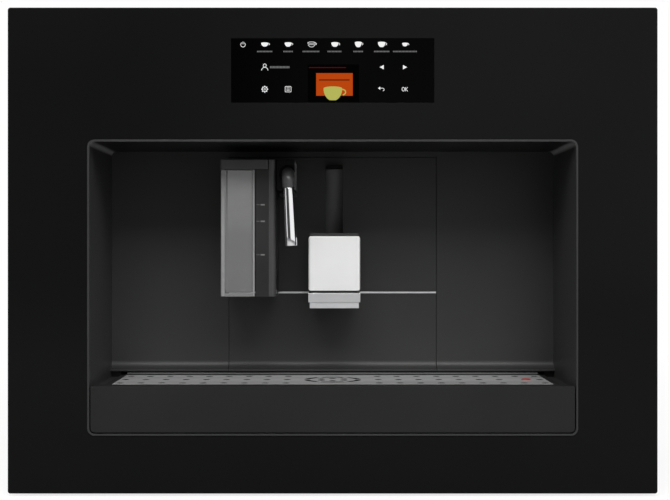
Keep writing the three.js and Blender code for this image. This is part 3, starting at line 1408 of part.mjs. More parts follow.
// Curved slots on a ring, with a round hole inside each.
function punchRosette(outline, punch) {
  const half = PI / ROSETTE_SLOTS - (ROSETTE_BRIDGE / 2) * RADIAN;
  for (let i = 0; i < ROSETTE_SLOTS; i++) {
    const middle = ((i + 0.5) * 2 * PI) / ROSETTE_SLOTS;
    const slot = new THREE.Path();
    slot.absarc(0, grilleMiddle, ROSETTE_RADIUS - ROSETTE_SLOT_WIDTH / 2, middle - half, middle + half, false);
    slot.absarc(0, grilleMiddle, ROSETTE_RADIUS + ROSETTE_SLOT_WIDTH / 2, middle + half, middle - half, true);
    outline.holes.push(slot);
    const r = ROSETTE_RADIUS / 2;
    punch(r * Math.cos(middle), grilleMiddle + r * Math.sin(middle), HOLE_RADIUS);
  }
}

// The float lies on the floor of the basin; its red cap stands in the grille.
function makeTrayFloat() {
  const bottom = trayBottom + TRAY_WALL + FIT;
  const discTop = bottom + FLOAT_HEIGHT;
  const capBottom = grilleTop - FLOAT_CAP_HEIGHT;
  const profile = [
    [0, bottom],
    [FLOAT_RADIUS, bottom],
    [FLOAT_RADIUS, discTop],
    [FLOAT_STEM, discTop + 2],
    [FLOAT_STEM, capBottom - 1],
    [FLOAT_CAP, capBottom],
    [FLOAT_CAP, grilleTop],
    [FLOAT_CAP - 1, grilleTop + FLOAT_PROUD],
    [0, grilleTop + FLOAT_PROUD],
  ];
  piece("tray_float", turned(profile, FLOAT_X, grilleMiddle, 16), redPlastic);
}

// ---------------------------------------------------------------- water tank

const tankRim = tankTop - TANK_LID - FIT;
const tankHingeX = tankInner - TANK_HINGE / 2;
const tankHingeZ = tankTop - TANK_LID / 2;
const tankKnuckles = [TANK_FRONT + TANK_LENGTH / 4, tankBack - TANK_LENGTH / 4];

// A solid with its hinge lugs for the lid, its recessed pull and the hole of its valve.
function makeWaterTank() {
  const [left, w] = [-bodySide, TANK_WALL];
  const form = (inset, z0, z1) => {
    const [x0, x1, y0, y1] = [left + inset, tankInner - inset, TANK_FRONT + inset, tankBack - inset];
    return extrude("plan", roundedRect(x0, x1, y0, y1, TANK_CORNER - inset), z0, z1, 3);
  };
  const pullTop = tankRim - PULL_DROP;
  const pull = (grow) => {
    const half = PULL_WIDTH / 2 + grow;
    const [z0, z1] = [pullTop - PULL_HEIGHT - grow, pullTop + grow];
    return block(left - CUT, left + PULL_DEPTH + grow, tankMiddle - half, tankMiddle + half, z0, z1);
  };
  const shell = shellWithPull(form(0, tankBottom, tankRim), form(w, tankBottom + w, tankRim + CUT), pull(0), pull(w));
  const valve = rod("x", VALVE_RADIUS + FIT, tankInner - w - CUT, tankInner + CUT, tankMiddle, valveZ, 12);
  const lugLeft = tankInner - TANK_HINGE + CUT;
  const lug = (y) => block(lugLeft, tankInner, y, y + TANK_LUG, tankRim - TANK_HINGE, tankTop);
  const lugs = tankKnuckles.flatMap((y) => {
    const half = TANK_KNUCKLE / 2 + FIT;
    return [lug(y - half - TANK_LUG), lug(y + half)];
  });
  const bore = rod("y", TANK_PIN_RADIUS + FIT, TANK_FRONT, tankBack, tankHingeX, tankHingeZ, 10);
  const [y0, y1] = [TANK_FRONT + TANK_CORNER, tankBack - TANK_CORNER];
  const upstand = block(left, left + w, y0, y1, tankRim - CUT, tankTop); // hides the edge of the lid
  piece("water_tank", cut(join(shell, upstand, ...lugs), valve, bore), clearPlastic);
}

// The lid turns up about the pins of its two knuckles.
function makeTankLid() {
  const edge = tankInner - TANK_HINGE;
  const bottom = tankTop - TANK_LID;
  const left = -bodySide + TANK_WALL + RUN;
  const plate = roundedRect(left, edge, TANK_FRONT, tankBack, TANK_CORNER / 2);
  const knuckle = (y) => {
    const half = TANK_KNUCKLE / 2;
    return join(
      block(edge - CUT, tankHingeX, y - half, y + half, bottom, tankTop),
      rod("y", TANK_LID / 2, y - half, y + half, tankHingeX, tankHingeZ, 12),
      rod("y", TANK_PIN_RADIUS, y - half - TANK_LUG, y + half + TANK_LUG, tankHingeX, tankHingeZ, 10),
    );
  };
  const lid = join(extrude("plan", plate, bottom, tankTop, 3), ...tankKnuckles.map(knuckle));
  piece("water_tank_lid", lid, darkPlastic);
}

// Seat on the deck: a floor, a wall at the inner end and the valve stub that enters the tank.
function makeTankSeat() {
  const [y0, y1] = [TANK_FRONT + 2, tankBack - 2];
  const bottom = deckTop + FIT;
  const back = seatWall + SEAT_WALL;
  const seat = join(
    block(-bodySide + SHEET + FIT, back, y0, y1, bottom, bottom + SEAT_THICKNESS),
    block(seatWall, back, y0, y1, bottom, bottom + SEAT_HEIGHT),
    rod("x", VALVE_RADIUS, tankInner - TANK_WALL, seatWall + VALVE_STUB, tankMiddle, valveZ, 12),
  );
  piece("tank_seat", seat, darkPlastic);
}

// ---------------------------------------------------------------- grounds and brewing

function makeGroundsContainer() {
  const w = GROUNDS_WALL;
  const outer = block(groundsInner, bodySide, GROUNDS_FRONT, groundsBack, groundsBottom, groundsTop);
  const cavity = block(
    groundsInner + w, bodySide - w, GROUNDS_FRONT + w, groundsBack - w, groundsBottom + w, groundsTop + CUT,
  );
  const pullTop = groundsTop - PULL_DROP;
  const pull = (grow) => {
    const half = PULL_WIDTH / 2 + grow;
    const [z0, z1] = [pullTop - PULL_HEIGHT - grow, pullTop + grow];
    return block(bodySide - PULL_DEPTH - grow, bodySide + CUT, brewY - half, brewY + half, z0, z1);
  };
  piece("grounds_container", shellWithPull(outer, cavity, pull(0), pull(w)), darkPlastic);
}

// Frame of the brewing unit: a shelf on two legs astride the grounds container, two cheeks with
// windows, a bridge with the fixed piston, two guide rods and the funnel for ground coffee.
function makeBrewFrame() {
  const [x0, x1] = [BREW_X - BREW_WIDTH / 2, BREW_X + BREW_WIDTH / 2];
  const [y0, y1] = [brewY - BREW_LENGTH / 2, brewY + BREW_LENGTH / 2];
  const w = BREW_WALL;
  const [shelfLeft, shelfRight] = [x0 - w, x1 + 4 * w];
  const [legFront, legBack] = [GROUNDS_FRONT - LEG_CLEARANCE - w, groundsBack + LEG_CLEARANCE];
  const shelf = cut(
    block(shelfLeft, shelfRight, legFront, legBack + w, shelfBottom, shelfTop),
    block(x0 + 8, x0 + 30, brewY - 25, brewY + 25, shelfBottom - CUT, shelfTop + CUT),
  );
  const leg = (y) => block(shelfLeft, shelfRight, y, y + w, deckTop + FIT, shelfBottom);
  const window = roundedRect(x0 + 14, x1 - 14, shelfTop + 20, brewTop - 30, 12);
  const cheek = (y) =>
    cut(block(x0, x1, y, y + w, shelfTop, brewTop), extrude("front", window, y - CUT, y + w + CUT, 4));
  const bridge = block(x0, x1, y0, y1, brewTop - w, brewTop);
  const guide = (side) =>
    rod("z", GUIDE_RADIUS, shelfTop, brewTop, BREW_X, brewY + (side * GUIDE_SPACING) / 2, 12);
  const half = FUNNEL_SIZE / 2;
  const funnel = cut(
    column(funnelX, brewY, half, brewTop - w / 2, coverBottom - FIT),
    column(funnelX, brewY, half - FUNNEL_WALL, brewTop + w, coverBottom + CUT),
  );
  const cheeks = join(cheek(y0), cheek(y1 - w));
  const frame = join(shelf, leg(legFront), leg(legBack), cheeks, bridge, fixedPiston(), guide(-1), guide(1), funnel);
  piece("brew_unit_frame", frame, darkPlastic);
}

// Fixed piston, with the head that the brewing chamber rises over.
function fixedPiston() {
  const bottom = brewTop - PISTON_LENGTH;
  const head = CHAMBER_BORE - RUN;
  const profile = [
    [0, bottom],
    [head - 1, bottom],
    [head, bottom + 2],
    [head, bottom + 8],
    [head - 4, bottom + 10],
    [head - 4, brewTop - BREW_WALL],
    [0, brewTop - BREW_WALL],
  ];
  return turned(profile, BREW_X, brewY);
}

// The chamber is a cup with two lugs that run on the guides.
function makeBrewChamber() {
  const bottom = shelfTop + CHAMBER_ABOVE_SHELF;
  const top = bottom + CHAMBER_HEIGHT;
  const profile = [
    [0, bottom],
    [CHAMBER_RADIUS - 3, bottom],
    [CHAMBER_RADIUS, bottom + 3],
    [CHAMBER_RADIUS, top],
    [CHAMBER_BORE, top],
    [CHAMBER_BORE, bottom + CHAMBER_FLOOR],
    [0, bottom + CHAMBER_FLOOR],
  ];
  const lugBottom = bottom + 6;
  const near = CHAMBER_RADIUS - 2;
  const far = BREW_LENGTH / 2 - BREW_WALL - RUN;
  const lug = (side) => {
    const edges = [brewY + side * near, brewY + side * far].sort((a, b) => a - b);
    const guideY = brewY + (side * GUIDE_SPACING) / 2;
    return cut(
      block(BREW_X - 9, BREW_X + 9, ...edges, lugBottom, lugBottom + LUG_HEIGHT),
      rod("z", GUIDE_RADIUS + FIT, bottom, top, BREW_X, guideY, 12),
    );
  };
  piece("brew_chamber", join(turned(profile, BREW_X, brewY), lug(-1), lug(1)), whiteNylon);
}

// Gear case and motor behind the rear cheek.
function makeBrewDrive() {
  const front = brewY + BREW_LENGTH / 2 + FIT;
  const half = DRIVE_WIDTH / 2;
  const motorZ = shelfTop + DRIVE_HEIGHT - half;
  const motorFront = front + DRIVE_DEPTH;
  const drive = join(
    block(BREW_X - half, BREW_X + half, front, motorFront, shelfTop + FIT, shelfTop + DRIVE_HEIGHT),
    rod("y", DRIVE_MOTOR, motorFront - CUT, motorFront + 42, BREW_X, motorZ, 20),
    rod("y", DRIVE_MOTOR / 3, motorFront + 40, motorFront + 46, BREW_X, motorZ, 12),
  );
  piece("brew_drive", drive, motorSteel);
}

// ---------------------------------------------------------------- water works and power

const pumpZ = deckTop + FIT + PUMP_FEET + PUMP_RADIUS;
const boilerTop = deckTop + FIT + BOILER_HEIGHT;
const boilerBack = rearBack - BOILER_FROM_BACK;
const boilerY = boilerBack - BOILER_SIZE / 2;
const boilerFront = boilerBack - BOILER_SIZE;

function makeWaterPump() {
  const [x0, x1] = [PUMP_X - PUMP_LENGTH / 2, PUMP_X + PUMP_LENGTH / 2];
  const yoke = PUMP_RADIUS + 2;
  const pump = join(
    rod("x", PUMP_RADIUS, x0, x1, PUMP_Y, pumpZ, 20),
    block(PUMP_X - 18, PUMP_X + 18, PUMP_Y - yoke, PUMP_Y + yoke, deckTop + FIT, pumpZ + 16),
    rod("x", 8, x0 - PUMP_PORT, x1 + PUMP_PORT, PUMP_Y, pumpZ, 12),
  );
  piece("water_pump", pump, motorSteel);
}

function makeThermoblock() {
  const half = BOILER_SIZE / 2;
  const coreHalf = half - FIN_DEPTH;
  const core = block(
    BOILER_X - half, BOILER_X + half, boilerY - coreHalf, boilerY + coreHalf, deckTop + FIT, boilerTop - 8,
  );
  const pitch = (BOILER_SIZE - FIN_THICKNESS) / (BOILER_FINS - 1);
  const fins = [];
  for (let i = 0; i < BOILER_FINS; i++) {
    const x = BOILER_X - half + i * pitch;
    const [y0, y1] = [boilerFront, boilerBack];
    fins.push(block(x, x + FIN_THICKNESS, y0, y1, deckTop + FIT + 8, boilerTop));
  }
  piece("thermoblock", join(core, ...fins), castAluminium);
}

// Hoses and the steam pipe, each leaving its ports straight.
function makeHoses() {
  const valveEnd = seatWall + VALVE_STUB + FIT;
  const port = PUMP_X + PUMP_LENGTH / 2 + PUMP_PORT + FIT;
  const waterRoute = [
    [valveEnd, tankMiddle, valveZ],
    [valveEnd + 12, tankMiddle, valveZ],
    [-60, boilerFront - HOSE_CLEARANCE, valveZ],
    [30, PUMP_Y - 76, valveZ + 4],
    [port + 24, PUMP_Y - 46, pumpZ],
    [port + 18, PUMP_Y - 6, pumpZ],
    [port + 8, PUMP_Y, pumpZ],
    [port, PUMP_Y, pumpZ],
  ];
  piece("water_hose", hose(waterRoute, HOSE_RADIUS, 28), siliconeHose);

  const steamRoute = [
    [BOILER_X, boilerFront - FIT, boilerTop - 20],
    [BOILER_X, boilerFront - 12, boilerTop - 20],
    [BOILER_X + 2, boilerFront - 40, boilerTop - 12],
    [BOILER_X + 30, GRINDER_Y - 30, boilerTop + 50],
    [stubX - 20, bossEnd + 34, spoutZ - 20],
    [stubX, bossEnd + 14, spoutZ],
    [stubX, bossEnd + FIT, spoutZ],
  ];
  piece("steam_pipe", hose(steamRoute, HOSE_RADIUS, 24), siliconeHose);

  const coffeeRoute = [
    [BREW_X - 30, brewY - 30, brewTop + FIT],
    [BREW_X - 30, brewY - 30, brewTop + 10],
    [BREW_X - 40, brewY - 44, brewTop + 18],
    [BREW_X - 80, GRINDER_Y - 60, brewTop + 8],
    [70, nippleEnd + 42, brewTop - 60],
    [DISPENSER_X + 16, nippleEnd + 37, nippleHeight + 40],
    [DISPENSER_X, nippleEnd + 21, nippleHeight],
    [DISPENSER_X, nippleEnd + FIT, nippleHeight],
  ];
  piece("coffee_hose", hose(coffeeRoute, HOSE_RADIUS, 30), siliconeHose);
}

// Body of the power inlet as it passes through the rear panel, drawn larger by the given gap.
function inletBody(gap) {
  const w = INLET_WIDTH / 2 - INLET_FLANGE + gap;
  const h = INLET_HEIGHT / 2 - INLET_FLANGE + gap;
  return block(INLET_X - w, INLET_X + w, rearBack - INLET_DEPTH, rearBack + FIT, INLET_Z - h, INLET_Z + h);
}

// An inlet socket with three flat pins, and above it the housing of the rocker switch.
function makePowerInlet() {
  const [w, h] = [INLET_WIDTH / 2, INLET_HEIGHT / 2];
  const flange = block(INLET_X - w, INLET_X + w, rearBack + FIT, TOTAL_DEPTH, INLET_Z - h, INLET_Z + h);
  const socketZ = INLET_Z - 13;
  const socketShape = roundedRect(INLET_X - 12, INLET_X + 12, socketZ - 8, socketZ + 8, 5, 2);
  const socketFront = rearBack - INLET_DEPTH + 3;
  const socket = extrude("front", socketShape, socketFront, TOTAL_DEPTH + CUT, 2);
  const roomHalf = ROCKER_WIDTH / 2 + RUN;
  const [x0, x1] = [INLET_X - roomHalf, INLET_X + roomHalf];
  const rockerRoom = block(x0, x1, rearBack - 12, TOTAL_DEPTH + CUT, rockerZ - 9, rockerZ + 9);
  const pins = [-7, 0, 7].map((dx) => {
    const [x, z] = [INLET_X + dx, socketZ + (dx === 0 ? 2.5 : -1.5)];
    return block(x - 1, x + 1, socketFront - CUT, rearBack - 2, z - 2, z + 2);
  });
  const housing = cut(join(inletBody(0), flange), socket, rockerRoom);
  piece("power_inlet", join(housing, ...pins), darkPlastic);
}

const rockerZ = INLET_Z + 13;
const rockerY = rearBack - 7.5;

// The rocker is drawn level about its pivot and then tilted to its off side.
function makePowerSwitch() {
  const rocker = new THREE.Group();
  rocker.position.set(INLET_X, rockerY, rockerZ);
  rocker.rotation.x = ROCKER_TILT * RADIAN;
  machine.add(rocker);
  const outline = polygon([
    [-1, -5.5],
    [7, -5.9],
    [6.2, 0],
    [7, 5.9],
    [-1, 5.5],
  ]);
  const cap = extrude("side", outline, -ROCKER_WIDTH / 2, ROCKER_WIDTH / 2);
  piece("power_switch", cap, darkPlastic, rocker);
}

// ---------------------------------------------------------------- the machine

makeBaseFrame();
makeSlides();
makeBasePan();
makeDeck();
makeSidePanels();
makeServiceDoor();
makeRearPanel();
makeTopCover();
makeFunnelFlap();
makeHopper();
makeGrinderMotor();
makeGrinderHousing();
makeBurr();
makeGrindKnob();
makeFrontGlass();
makeFrontFrame();
makeElectronics();
makeRecessLiner();
makeFascia();
makeSpoutChannel();
makeDispenserBody();
makeDispenserPlate();
makeDispenserBase();
makeCoffeeOutlet();
makeJug();
makeGrip();
makeFrotherHead();
makeMilkSpout();
makeCarafeDock();
makeTrayFront();
makeTrayBasin();
makeGrille();
makeTrayFloat();
makeWaterTank();
makeTankLid();
makeTankSeat();
makeGroundsContainer();
makeBrewFrame();
makeBrewChamber();
makeBrewDrive();
makeWaterPump();
makeThermoblock();
makeHoses();
makePowerInlet();
makePowerSwitch();

export default machine;
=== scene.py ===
# %% [markdown]
# # A built-in coffee machine
# The machine's solids come from its engineering model, so their sizes are settled before this
# script starts. What is left to Blender is what the eye reads: how each surface was made, the
# smooth metal of the spout, the marks behind the glass, the screws, and the light.

import bpy
import numpy as np
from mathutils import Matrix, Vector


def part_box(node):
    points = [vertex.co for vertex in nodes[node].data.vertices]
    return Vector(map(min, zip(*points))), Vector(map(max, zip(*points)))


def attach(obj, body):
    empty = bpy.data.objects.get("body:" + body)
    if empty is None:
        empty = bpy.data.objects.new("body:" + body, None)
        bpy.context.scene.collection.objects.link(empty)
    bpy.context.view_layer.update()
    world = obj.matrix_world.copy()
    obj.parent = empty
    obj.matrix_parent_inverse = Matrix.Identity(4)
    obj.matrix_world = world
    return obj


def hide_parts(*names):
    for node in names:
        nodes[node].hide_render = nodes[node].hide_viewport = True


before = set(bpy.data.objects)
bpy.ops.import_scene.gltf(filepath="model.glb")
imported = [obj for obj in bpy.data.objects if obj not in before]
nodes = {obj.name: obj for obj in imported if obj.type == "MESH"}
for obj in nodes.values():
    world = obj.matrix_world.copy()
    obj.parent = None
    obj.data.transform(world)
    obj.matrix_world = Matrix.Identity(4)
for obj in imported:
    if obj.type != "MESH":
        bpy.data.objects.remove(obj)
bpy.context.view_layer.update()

# %% [markdown]
# ## Places on the machine
# The model is in metres, but a kitchen fitter thinks in millimetres. Every place below is given
# in millimetres, with y counted from the front plane of the machine back into its niche.

# %%
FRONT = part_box("recess_liner")[0][1]


def place(points):
    """Millimetres to metres, with y moved from the front plane to the model's origin."""
    points = np.asarray(points, dtype=float) * 0.001
    points[..., 1] += FRONT
    return points


def edges_mm(node):
    """Lowest and highest corner of a node, in millimetres, y counted from the front plane."""
    low, high = (np.array(corner, dtype=float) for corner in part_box(node))
    low[1] -= FRONT
    high[1] -= FRONT
    return low * 1000, high * 1000


# %% [markdown]
# ## Colours and nodes
# Colours are written as a painter's swatch, in sRGB hex, and turned to the linear light values
# that shaders work with. One small function adds a shader node with its settings and links.

# %%
def linear(swatch):
    """The sRGB curve: c / 12.92 below 0.04045, else ((c + 0.055) / 1.055) to the power 2.4."""
    c = np.array([int(swatch[i:i + 2], 16) for i in (1, 3, 5)]) / 255
    light = np.where(c <= 0.04045, c / 12.92, ((c + 0.055) / 1.055) ** 2.4)
    return (*light.tolist(), 1.0)


def add(tree, kind, settings=None, links=None):
    """Adds one node. A setting is a property or the value of an input; a link feeds an input."""
    node = tree.nodes.new(kind)
    for key, value in (settings or {}).items():
        if isinstance(key, str) and hasattr(node, key):
            setattr(node, key, value)
        else:
            node.inputs[key].default_value = value
    for key, output in (links or {}).items():
        tree.links.new(node.inputs[key], output)
    return node


def new_material(name, swatch, roughness, metallic=0.0, **sockets):
    """A material with its constant values on the main shader's own sockets."""
    made = bpy.data.materials.new(name)
    made.use_nodes = True
    shader = made.node_tree.nodes["Principled BSDF"]
    values = {"Base Color": linear(swatch), "Roughness": roughness, "Metallic": metallic}
    values.update({key.replace("_", " "): value for key, value in sockets.items()})
    for key, value in values.items():
        shader.inputs[key].default_value = value
    return made


# %% [markdown]
# ## How a made surface looks
# Nothing leaves a mould, a press or a paint line perfectly even. Three things give it away: the
# colour drifts a little over a hand's width, a fine grain breaks up the shine, and every edge has
# a small radius that catches the light. The grain of a brushed metal is the same grain, drawn out
# along one direction. One recipe serves them all; only the real sizes differ.

# %%
MATH = "ShaderNodeMath"
NOISE_SPAN = (0.3, 0.7)  # the part of a noise's range in which nearly all of its values lie


def dress(material, names):
    """Gives CAD nodes their finish."""
    for node in (nodes[name] for name in names):
        if not node.material_slots:
            node.data.materials.append(material)
        for slot in node.material_slots:
            slot.material = material
    print(material.name, "on", len(names), "solids")


def finished(name, roughness, colours, sizes, on=(), metallic=0.0, stretch=(1, 1, 1),
             spread=0.06, **sockets):
    """Sizes are in millimetres: patch, grain, relief, edge. Colour runs from the second to the
    first of the colours with a noise of patch size; the height of a second noise of grain size
    gives relief; edges are rounded by the edge radius. The roughness varies by the spread."""
    light, dark = colours
    made = new_material(name, light, roughness, metallic, **sockets)
    patch, grain, relief, edge = sizes
    tree = made.node_tree
    shader = tree.nodes["Principled BSDF"]
    where = add(tree, "ShaderNodeTexCoord").outputs["Object"]
    drawn = add(tree, "ShaderNodeMapping", {"Scale": stretch}, {"Vector": where}).outputs[0]
    broad, close = {"Scale": 1000 / patch, "Detail": 3.0}, {"Scale": 1000 / grain, "Detail": 2.0}
    drift = add(tree, "ShaderNodeTexNoise", broad, {"Vector": drawn})
    ramp = add(tree, "ShaderNodeValToRGB", links={"Fac": drift.outputs[0]})
    for stop, position, tint in zip(ramp.color_ramp.elements, NOISE_SPAN, (dark, light)):
        stop.position, stop.color = position, linear(tint)
    tree.links.new(shader.inputs["Base Color"], ramp.outputs["Color"])
    fine = add(tree, "ShaderNodeTexNoise", close, {"Vector": drawn})
    limits = dict(zip(("From Min", "From Max"), NOISE_SPAN))
    rough = shader.inputs["Roughness"].default_value
    limits.update({"To Min": rough - spread, "To Max": rough + spread})
    gloss = add(tree, "ShaderNodeMapRange", limits, {"Value": fine.outputs[0]})
    tree.links.new(shader.inputs["Roughness"], gloss.outputs["Result"])
    rounded = add(tree, "ShaderNodeBevel", {"samples": 4, "Radius": edge / 1000})
    bump = add(tree, "ShaderNodeBump", {"Strength": 0.5, "Distance": relief / 1000},
               {"Height": fine.outputs[0], "Normal": rounded.outputs[0]})
    tree.links.new(shader.inputs["Normal"], bump.outputs[0])
    if on:
        dress(made, on)
    return made


def shade_by(made, tone):
    """Multiplies the colour of a finished surface by a tone, which paints light or shade into it.
    """
    tree = made.node_tree
    base = tree.nodes["Principled BSDF"].inputs["Base Color"]
    toned = add(tree, "ShaderNodeVectorMath", {"operation": "SCALE"},
                {0: base.links[0].from_socket, 3: tone})
    tree.links.new(base, toned.outputs[0])


def normal_of(made):
    """The three outputs of the surface normal: X, Y and Z."""
    geometry = add(made.node_tree, "ShaderNodeNewGeometry")
    facing = {0: geometry.outputs["Normal"]}
    return add(made.node_tree, "ShaderNodeSeparateXYZ", links=facing).outputs


# %% [markdown]
# ### Glass
# The front is a pane of float glass, enamelled black on its back. The eye sees the polished face
# and the enamel 4 mm behind it, so the colour is even and the reflection is clear but weak. The
# touch panel is a separate pane with a deeper black, so that its lamps stand out.

# %%
finished(
    "enamelled_float_glass", 0.16, ("#101010", "#0e0e0e"), (180, 60, 0.001, 0.5),
    on=("front_glass",), spread=0.02, Specular_IOR_Level=0.05)
finished(
    "touch_panel_glass", 0.08, ("#020202", "#010101"), (90, 40, 0.001, 0.3), on=("touch_panel",),
    spread=0.01, Specular_IOR_Level=0.025)

# %% [markdown]
# ### Moulded plastics
# The recess, the tray and the frame are ABS from spark-eroded moulds: a dull sheen with a grain
# of about half a millimetre. The parts that are touched are moulded with a closer grain. It is
# drawn a little coarser than it is, because at this distance it would otherwise vanish.

# %%
finished(
    "spark_eroded_abs_grey", 0.42, ("#2c2c2c", "#282828"), (120, 0.9, 0.02, 0.7),
    on=("upper_fascia", "lower_fascia", "spout_channel"), Specular_IOR_Level=0.22)
finished(
    "spark_eroded_abs_black", 0.45, ("#202020", "#1c1c1c"), (120, 0.8, 0.02, 0.6),
    on=("tray_front", "tray_basin"), Specular_IOR_Level=0.12)
finished(
    "glass_filled_abs", 0.55, ("#222222", "#1b1b1b"), (60, 1.2, 0.03, 0.5),
    on=("front_frame", "display_module", "tank_seat", "brew_unit_frame"))
finished(
    "moulded_nylon_black", 0.4, ("#191919", "#141414"), (40, 0.7, 0.02, 0.4),
    on=("dispenser_body", "coffee_outlet", "carafe_dock", "water_tank_lid", "grounds_container",
        "ground_coffee_flap", "grind_knob", "power_inlet", "power_switch"))
finished(
    "polished_abs_black", 0.3, ("#0c0c0c", "#080808"), (40, 0.7, 0.01, 0.8), on=("frother_head",),
    Specular_IOR_Level=0.06)
finished(
    "satin_polypropylene", 0.38, ("#222222", "#1d1d1d"), (50, 0.6, 0.015, 0.8),
    on=("jug_grip", "milk_spout_elbow"), Specular_IOR_Level=0.2)
finished(
    "satin_polypropylene_lid", 0.36, ("#3c3c3c", "#383838"), (50, 0.6, 0.015, 0.8),
    on=("jug_lid",), Specular_IOR_Level=0.3)
finished(
    "natural_nylon", 0.5, ("#dcd9d0", "#cfcbc0"), (30, 0.8, 0.02, 0.5), on=("brew_chamber",),
    Subsurface_Weight=0.1)
finished(
    "red_polypropylene", 0.3, ("#b02c22", "#9c241c"), (12, 0.6, 0.01, 0.4), on=("tray_float",))

# %% [markdown]
# The recess is one deep moulding. Light and shade are painted into its colour by the way each
# face points: the side faces are painted paler, the ceiling gets painted shade, and the two
# rounded corners under the ceiling get painted highlights as pale strips. The surface normal
# tells these faces apart: its x is 1 on a side face, its z is -1 on the ceiling, and both are
# large only in a corner.

# %%
liner_painted_light = finished(
    "abs_grey_painted_light_and_shade", 0.42, ("#2c2c2c", "#282828"), (120, 0.9, 0.02, 0.7),
    Specular_IOR_Level=0.22)
# Painted light and shade: side faces painted paler, the ceiling painted darker, the corners under
# the ceiling painted as pale highlight strips.
tree = liner_painted_light.node_tree
normal = normal_of(liner_painted_light)
paler_side_mask = add(tree, MATH, {"operation": "ABSOLUTE"}, {0: normal["X"]}).outputs[0]
downward = add(tree, MATH, {"operation": "MULTIPLY", 1: -1.0}, {0: normal["Z"]}).outputs[0]
ceiling = add(tree, MATH, {"operation": "MAXIMUM", 1: 0.0}, {0: downward}).outputs[0]
corner = add(tree, MATH, {"operation": "MULTIPLY"}, {0: paler_side_mask, 1: ceiling}).outputs[0]
tone = add(tree, MATH, {"operation": "MULTIPLY_ADD", 1: 0.35, 2: 1.0}, {0: paler_side_mask}).outputs[0]
for weight, part in ((-0.6, ceiling), (13.0, corner)):
    more = {"operation": "MULTIPLY_ADD", 1: weight}
    tone = add(tree, MATH, more, {0: part, 2: tone}).outputs[0]
shade_by(liner_painted_light, tone)
dress(liner_painted_light, ["recess_liner"])

# %% [markdown]
# ### Clear plastics
# The tank and the hopper are blow-moulded and injected copolyester. Seen against a dark machine
# they read as a thin bright skin: mostly see-through, with strong reflections.

# %%
finished(
    "clear_copolyester", 0.08, ("#c0c8cb", "#b0babf"), (90, 25, 0.05, 0.8), on=("water_tank",),
    spread=0.03, Alpha=0.32, IOR=1.57)
finished(
    "smoked_copolyester", 0.1, ("#50555a", "#43484c"), (90, 20, 0.05, 0.7),
    on=("bean_hopper", "bean_hopper_lid"), spread=0.03, Alpha=0.62, IOR=1.57)
finished(
    "silicone_hose", 0.5, ("#d0d2cd", "#bdbfba"), (25, 1.0, 0.02, 0.3),
    on=("water_hose", "coffee_hose", "steam_pipe"), Subsurface_Weight=0.15)

# %% [markdown]
# ### Painted and plated sheet
# The covers are steel sheet with a textured powder coat, whose orange-peel grain is about a
# millimetre wide. The chassis is hot-dip galvanised: zinc freezes in flat crystals, the spangle,
# each of which tilts its own way and so has its own brightness.

# %%
finished(
    "textured_powder_coat", 0.5, ("#262626", "#1f1f1f"), (140, 1.1, 0.06, 0.6),
    on=("side_panel_left", "side_panel_right", "rear_panel", "top_cover", "service_door"),
    Specular_IOR_Level=0.35)

zinc = new_material("galvanised_steel", "#a3a8ab", 0.38, 0.85)
tree = zinc.node_tree
shader = tree.nodes["Principled BSDF"]
where = add(tree, "ShaderNodeTexCoord").outputs["Object"]
SPANGLE = 7  # millimetres from crystal to crystal
crystals = {"Scale": 1000 / SPANGLE, "Randomness": 1.0}
spangle = add(tree, "ShaderNodeTexVoronoi", crystals, {"Vector": where})
tone = add(tree, "ShaderNodeSeparateColor", links={"Color": spangle.outputs["Color"]})
ramp = add(tree, "ShaderNodeValToRGB", links={"Fac": tone.outputs[0]})
ramp.color_ramp.elements[0].color = linear("#989da0")
ramp.color_ramp.elements[1].color = linear("#acb1b3")
tree.links.new(shader.inputs["Base Color"], ramp.outputs["Color"])
limits = {"To Min": 0.34, "To Max": 0.46}
gloss = add(tree, "ShaderNodeMapRange", limits, {"Value": tone.outputs[1]})
tree.links.new(shader.inputs["Roughness"], gloss.outputs["Result"])
rounded = add(tree, "ShaderNodeBevel", {"samples": 4, "Radius": 0.0003})
tree.links.new(shader.inputs["Normal"], rounded.outputs[0])
slides = [f"slide_{part}_{end}" for part in ("outer", "middle", "inner")
          for end in ("left", "right")]
dress(zinc, ["base_frame", "base_pan", "deck", *slides])

# %% [markdown]
# ### Steel, chrome and castings
# The grille is brushed along its length, so its grain is drawn out in x. The trim and the base of
# the dispenser are chromed: a mirror, in which only the rounded edges show. Castings and motor
# housings are dull, with a coarse skin.

# %%
finished(
    "brushed_stainless", 0.42, ("#c0c0c0", "#a6a6a6"), (30, 1.6, 0.01, 0.25), on=("drip_grille",),
    metallic=0.5, stretch=(0.03, 1, 1))
chrome = finished(
    "bright_chrome", 0.07, ("#f2f2f3", "#ececee"), (40, 12, 0.002, 0.5), on=("milk_spout_tube",),
    metallic=1.0, spread=0.03)
finished(
    "satin_chrome", 0.3, ("#d2d2d3", "#ccccce"), (60, 3.0, 0.0004, 0.5),
    on=("dispenser_base", "fascia_trim"), metallic=0.85, spread=0.02)
satin_steel = finished(
    "satin_stainless", 0.42, ("#dadada", "#d6d6d6"), (60, 0.8, 0.004, 0.4),
    on=("dispenser_plate",), metallic=0.55, stretch=(0.05, 0.05, 1), Specular_IOR_Level=0.4)
finished(
    "cast_aluminium", 0.5, ("#b2b4b6", "#9b9d9f"), (18, 1.3, 0.08, 0.6),
    on=("grinder_housing", "thermoblock"), metallic=0.75)
finished(
    "machined_steel", 0.35, ("#8a8c8f", "#75777a"), (25, 0.9, 0.02, 0.4),
    on=("grinder_motor", "grinder_burr", "brew_drive", "water_pump"), metallic=0.85,
    stretch=(1, 1, 0.1))
finished(
    "green_solder_mask", 0.35, ("#22633a", "#184d2b"), (6, 0.8, 0.03, 0.2), on=("control_board",))

# %% [markdown]
# ## Surfaces from arrays
# A new piece is a grid of points worked out in one go. Its faces join each point with its
# neighbours, and a direction that closes on itself wraps round.

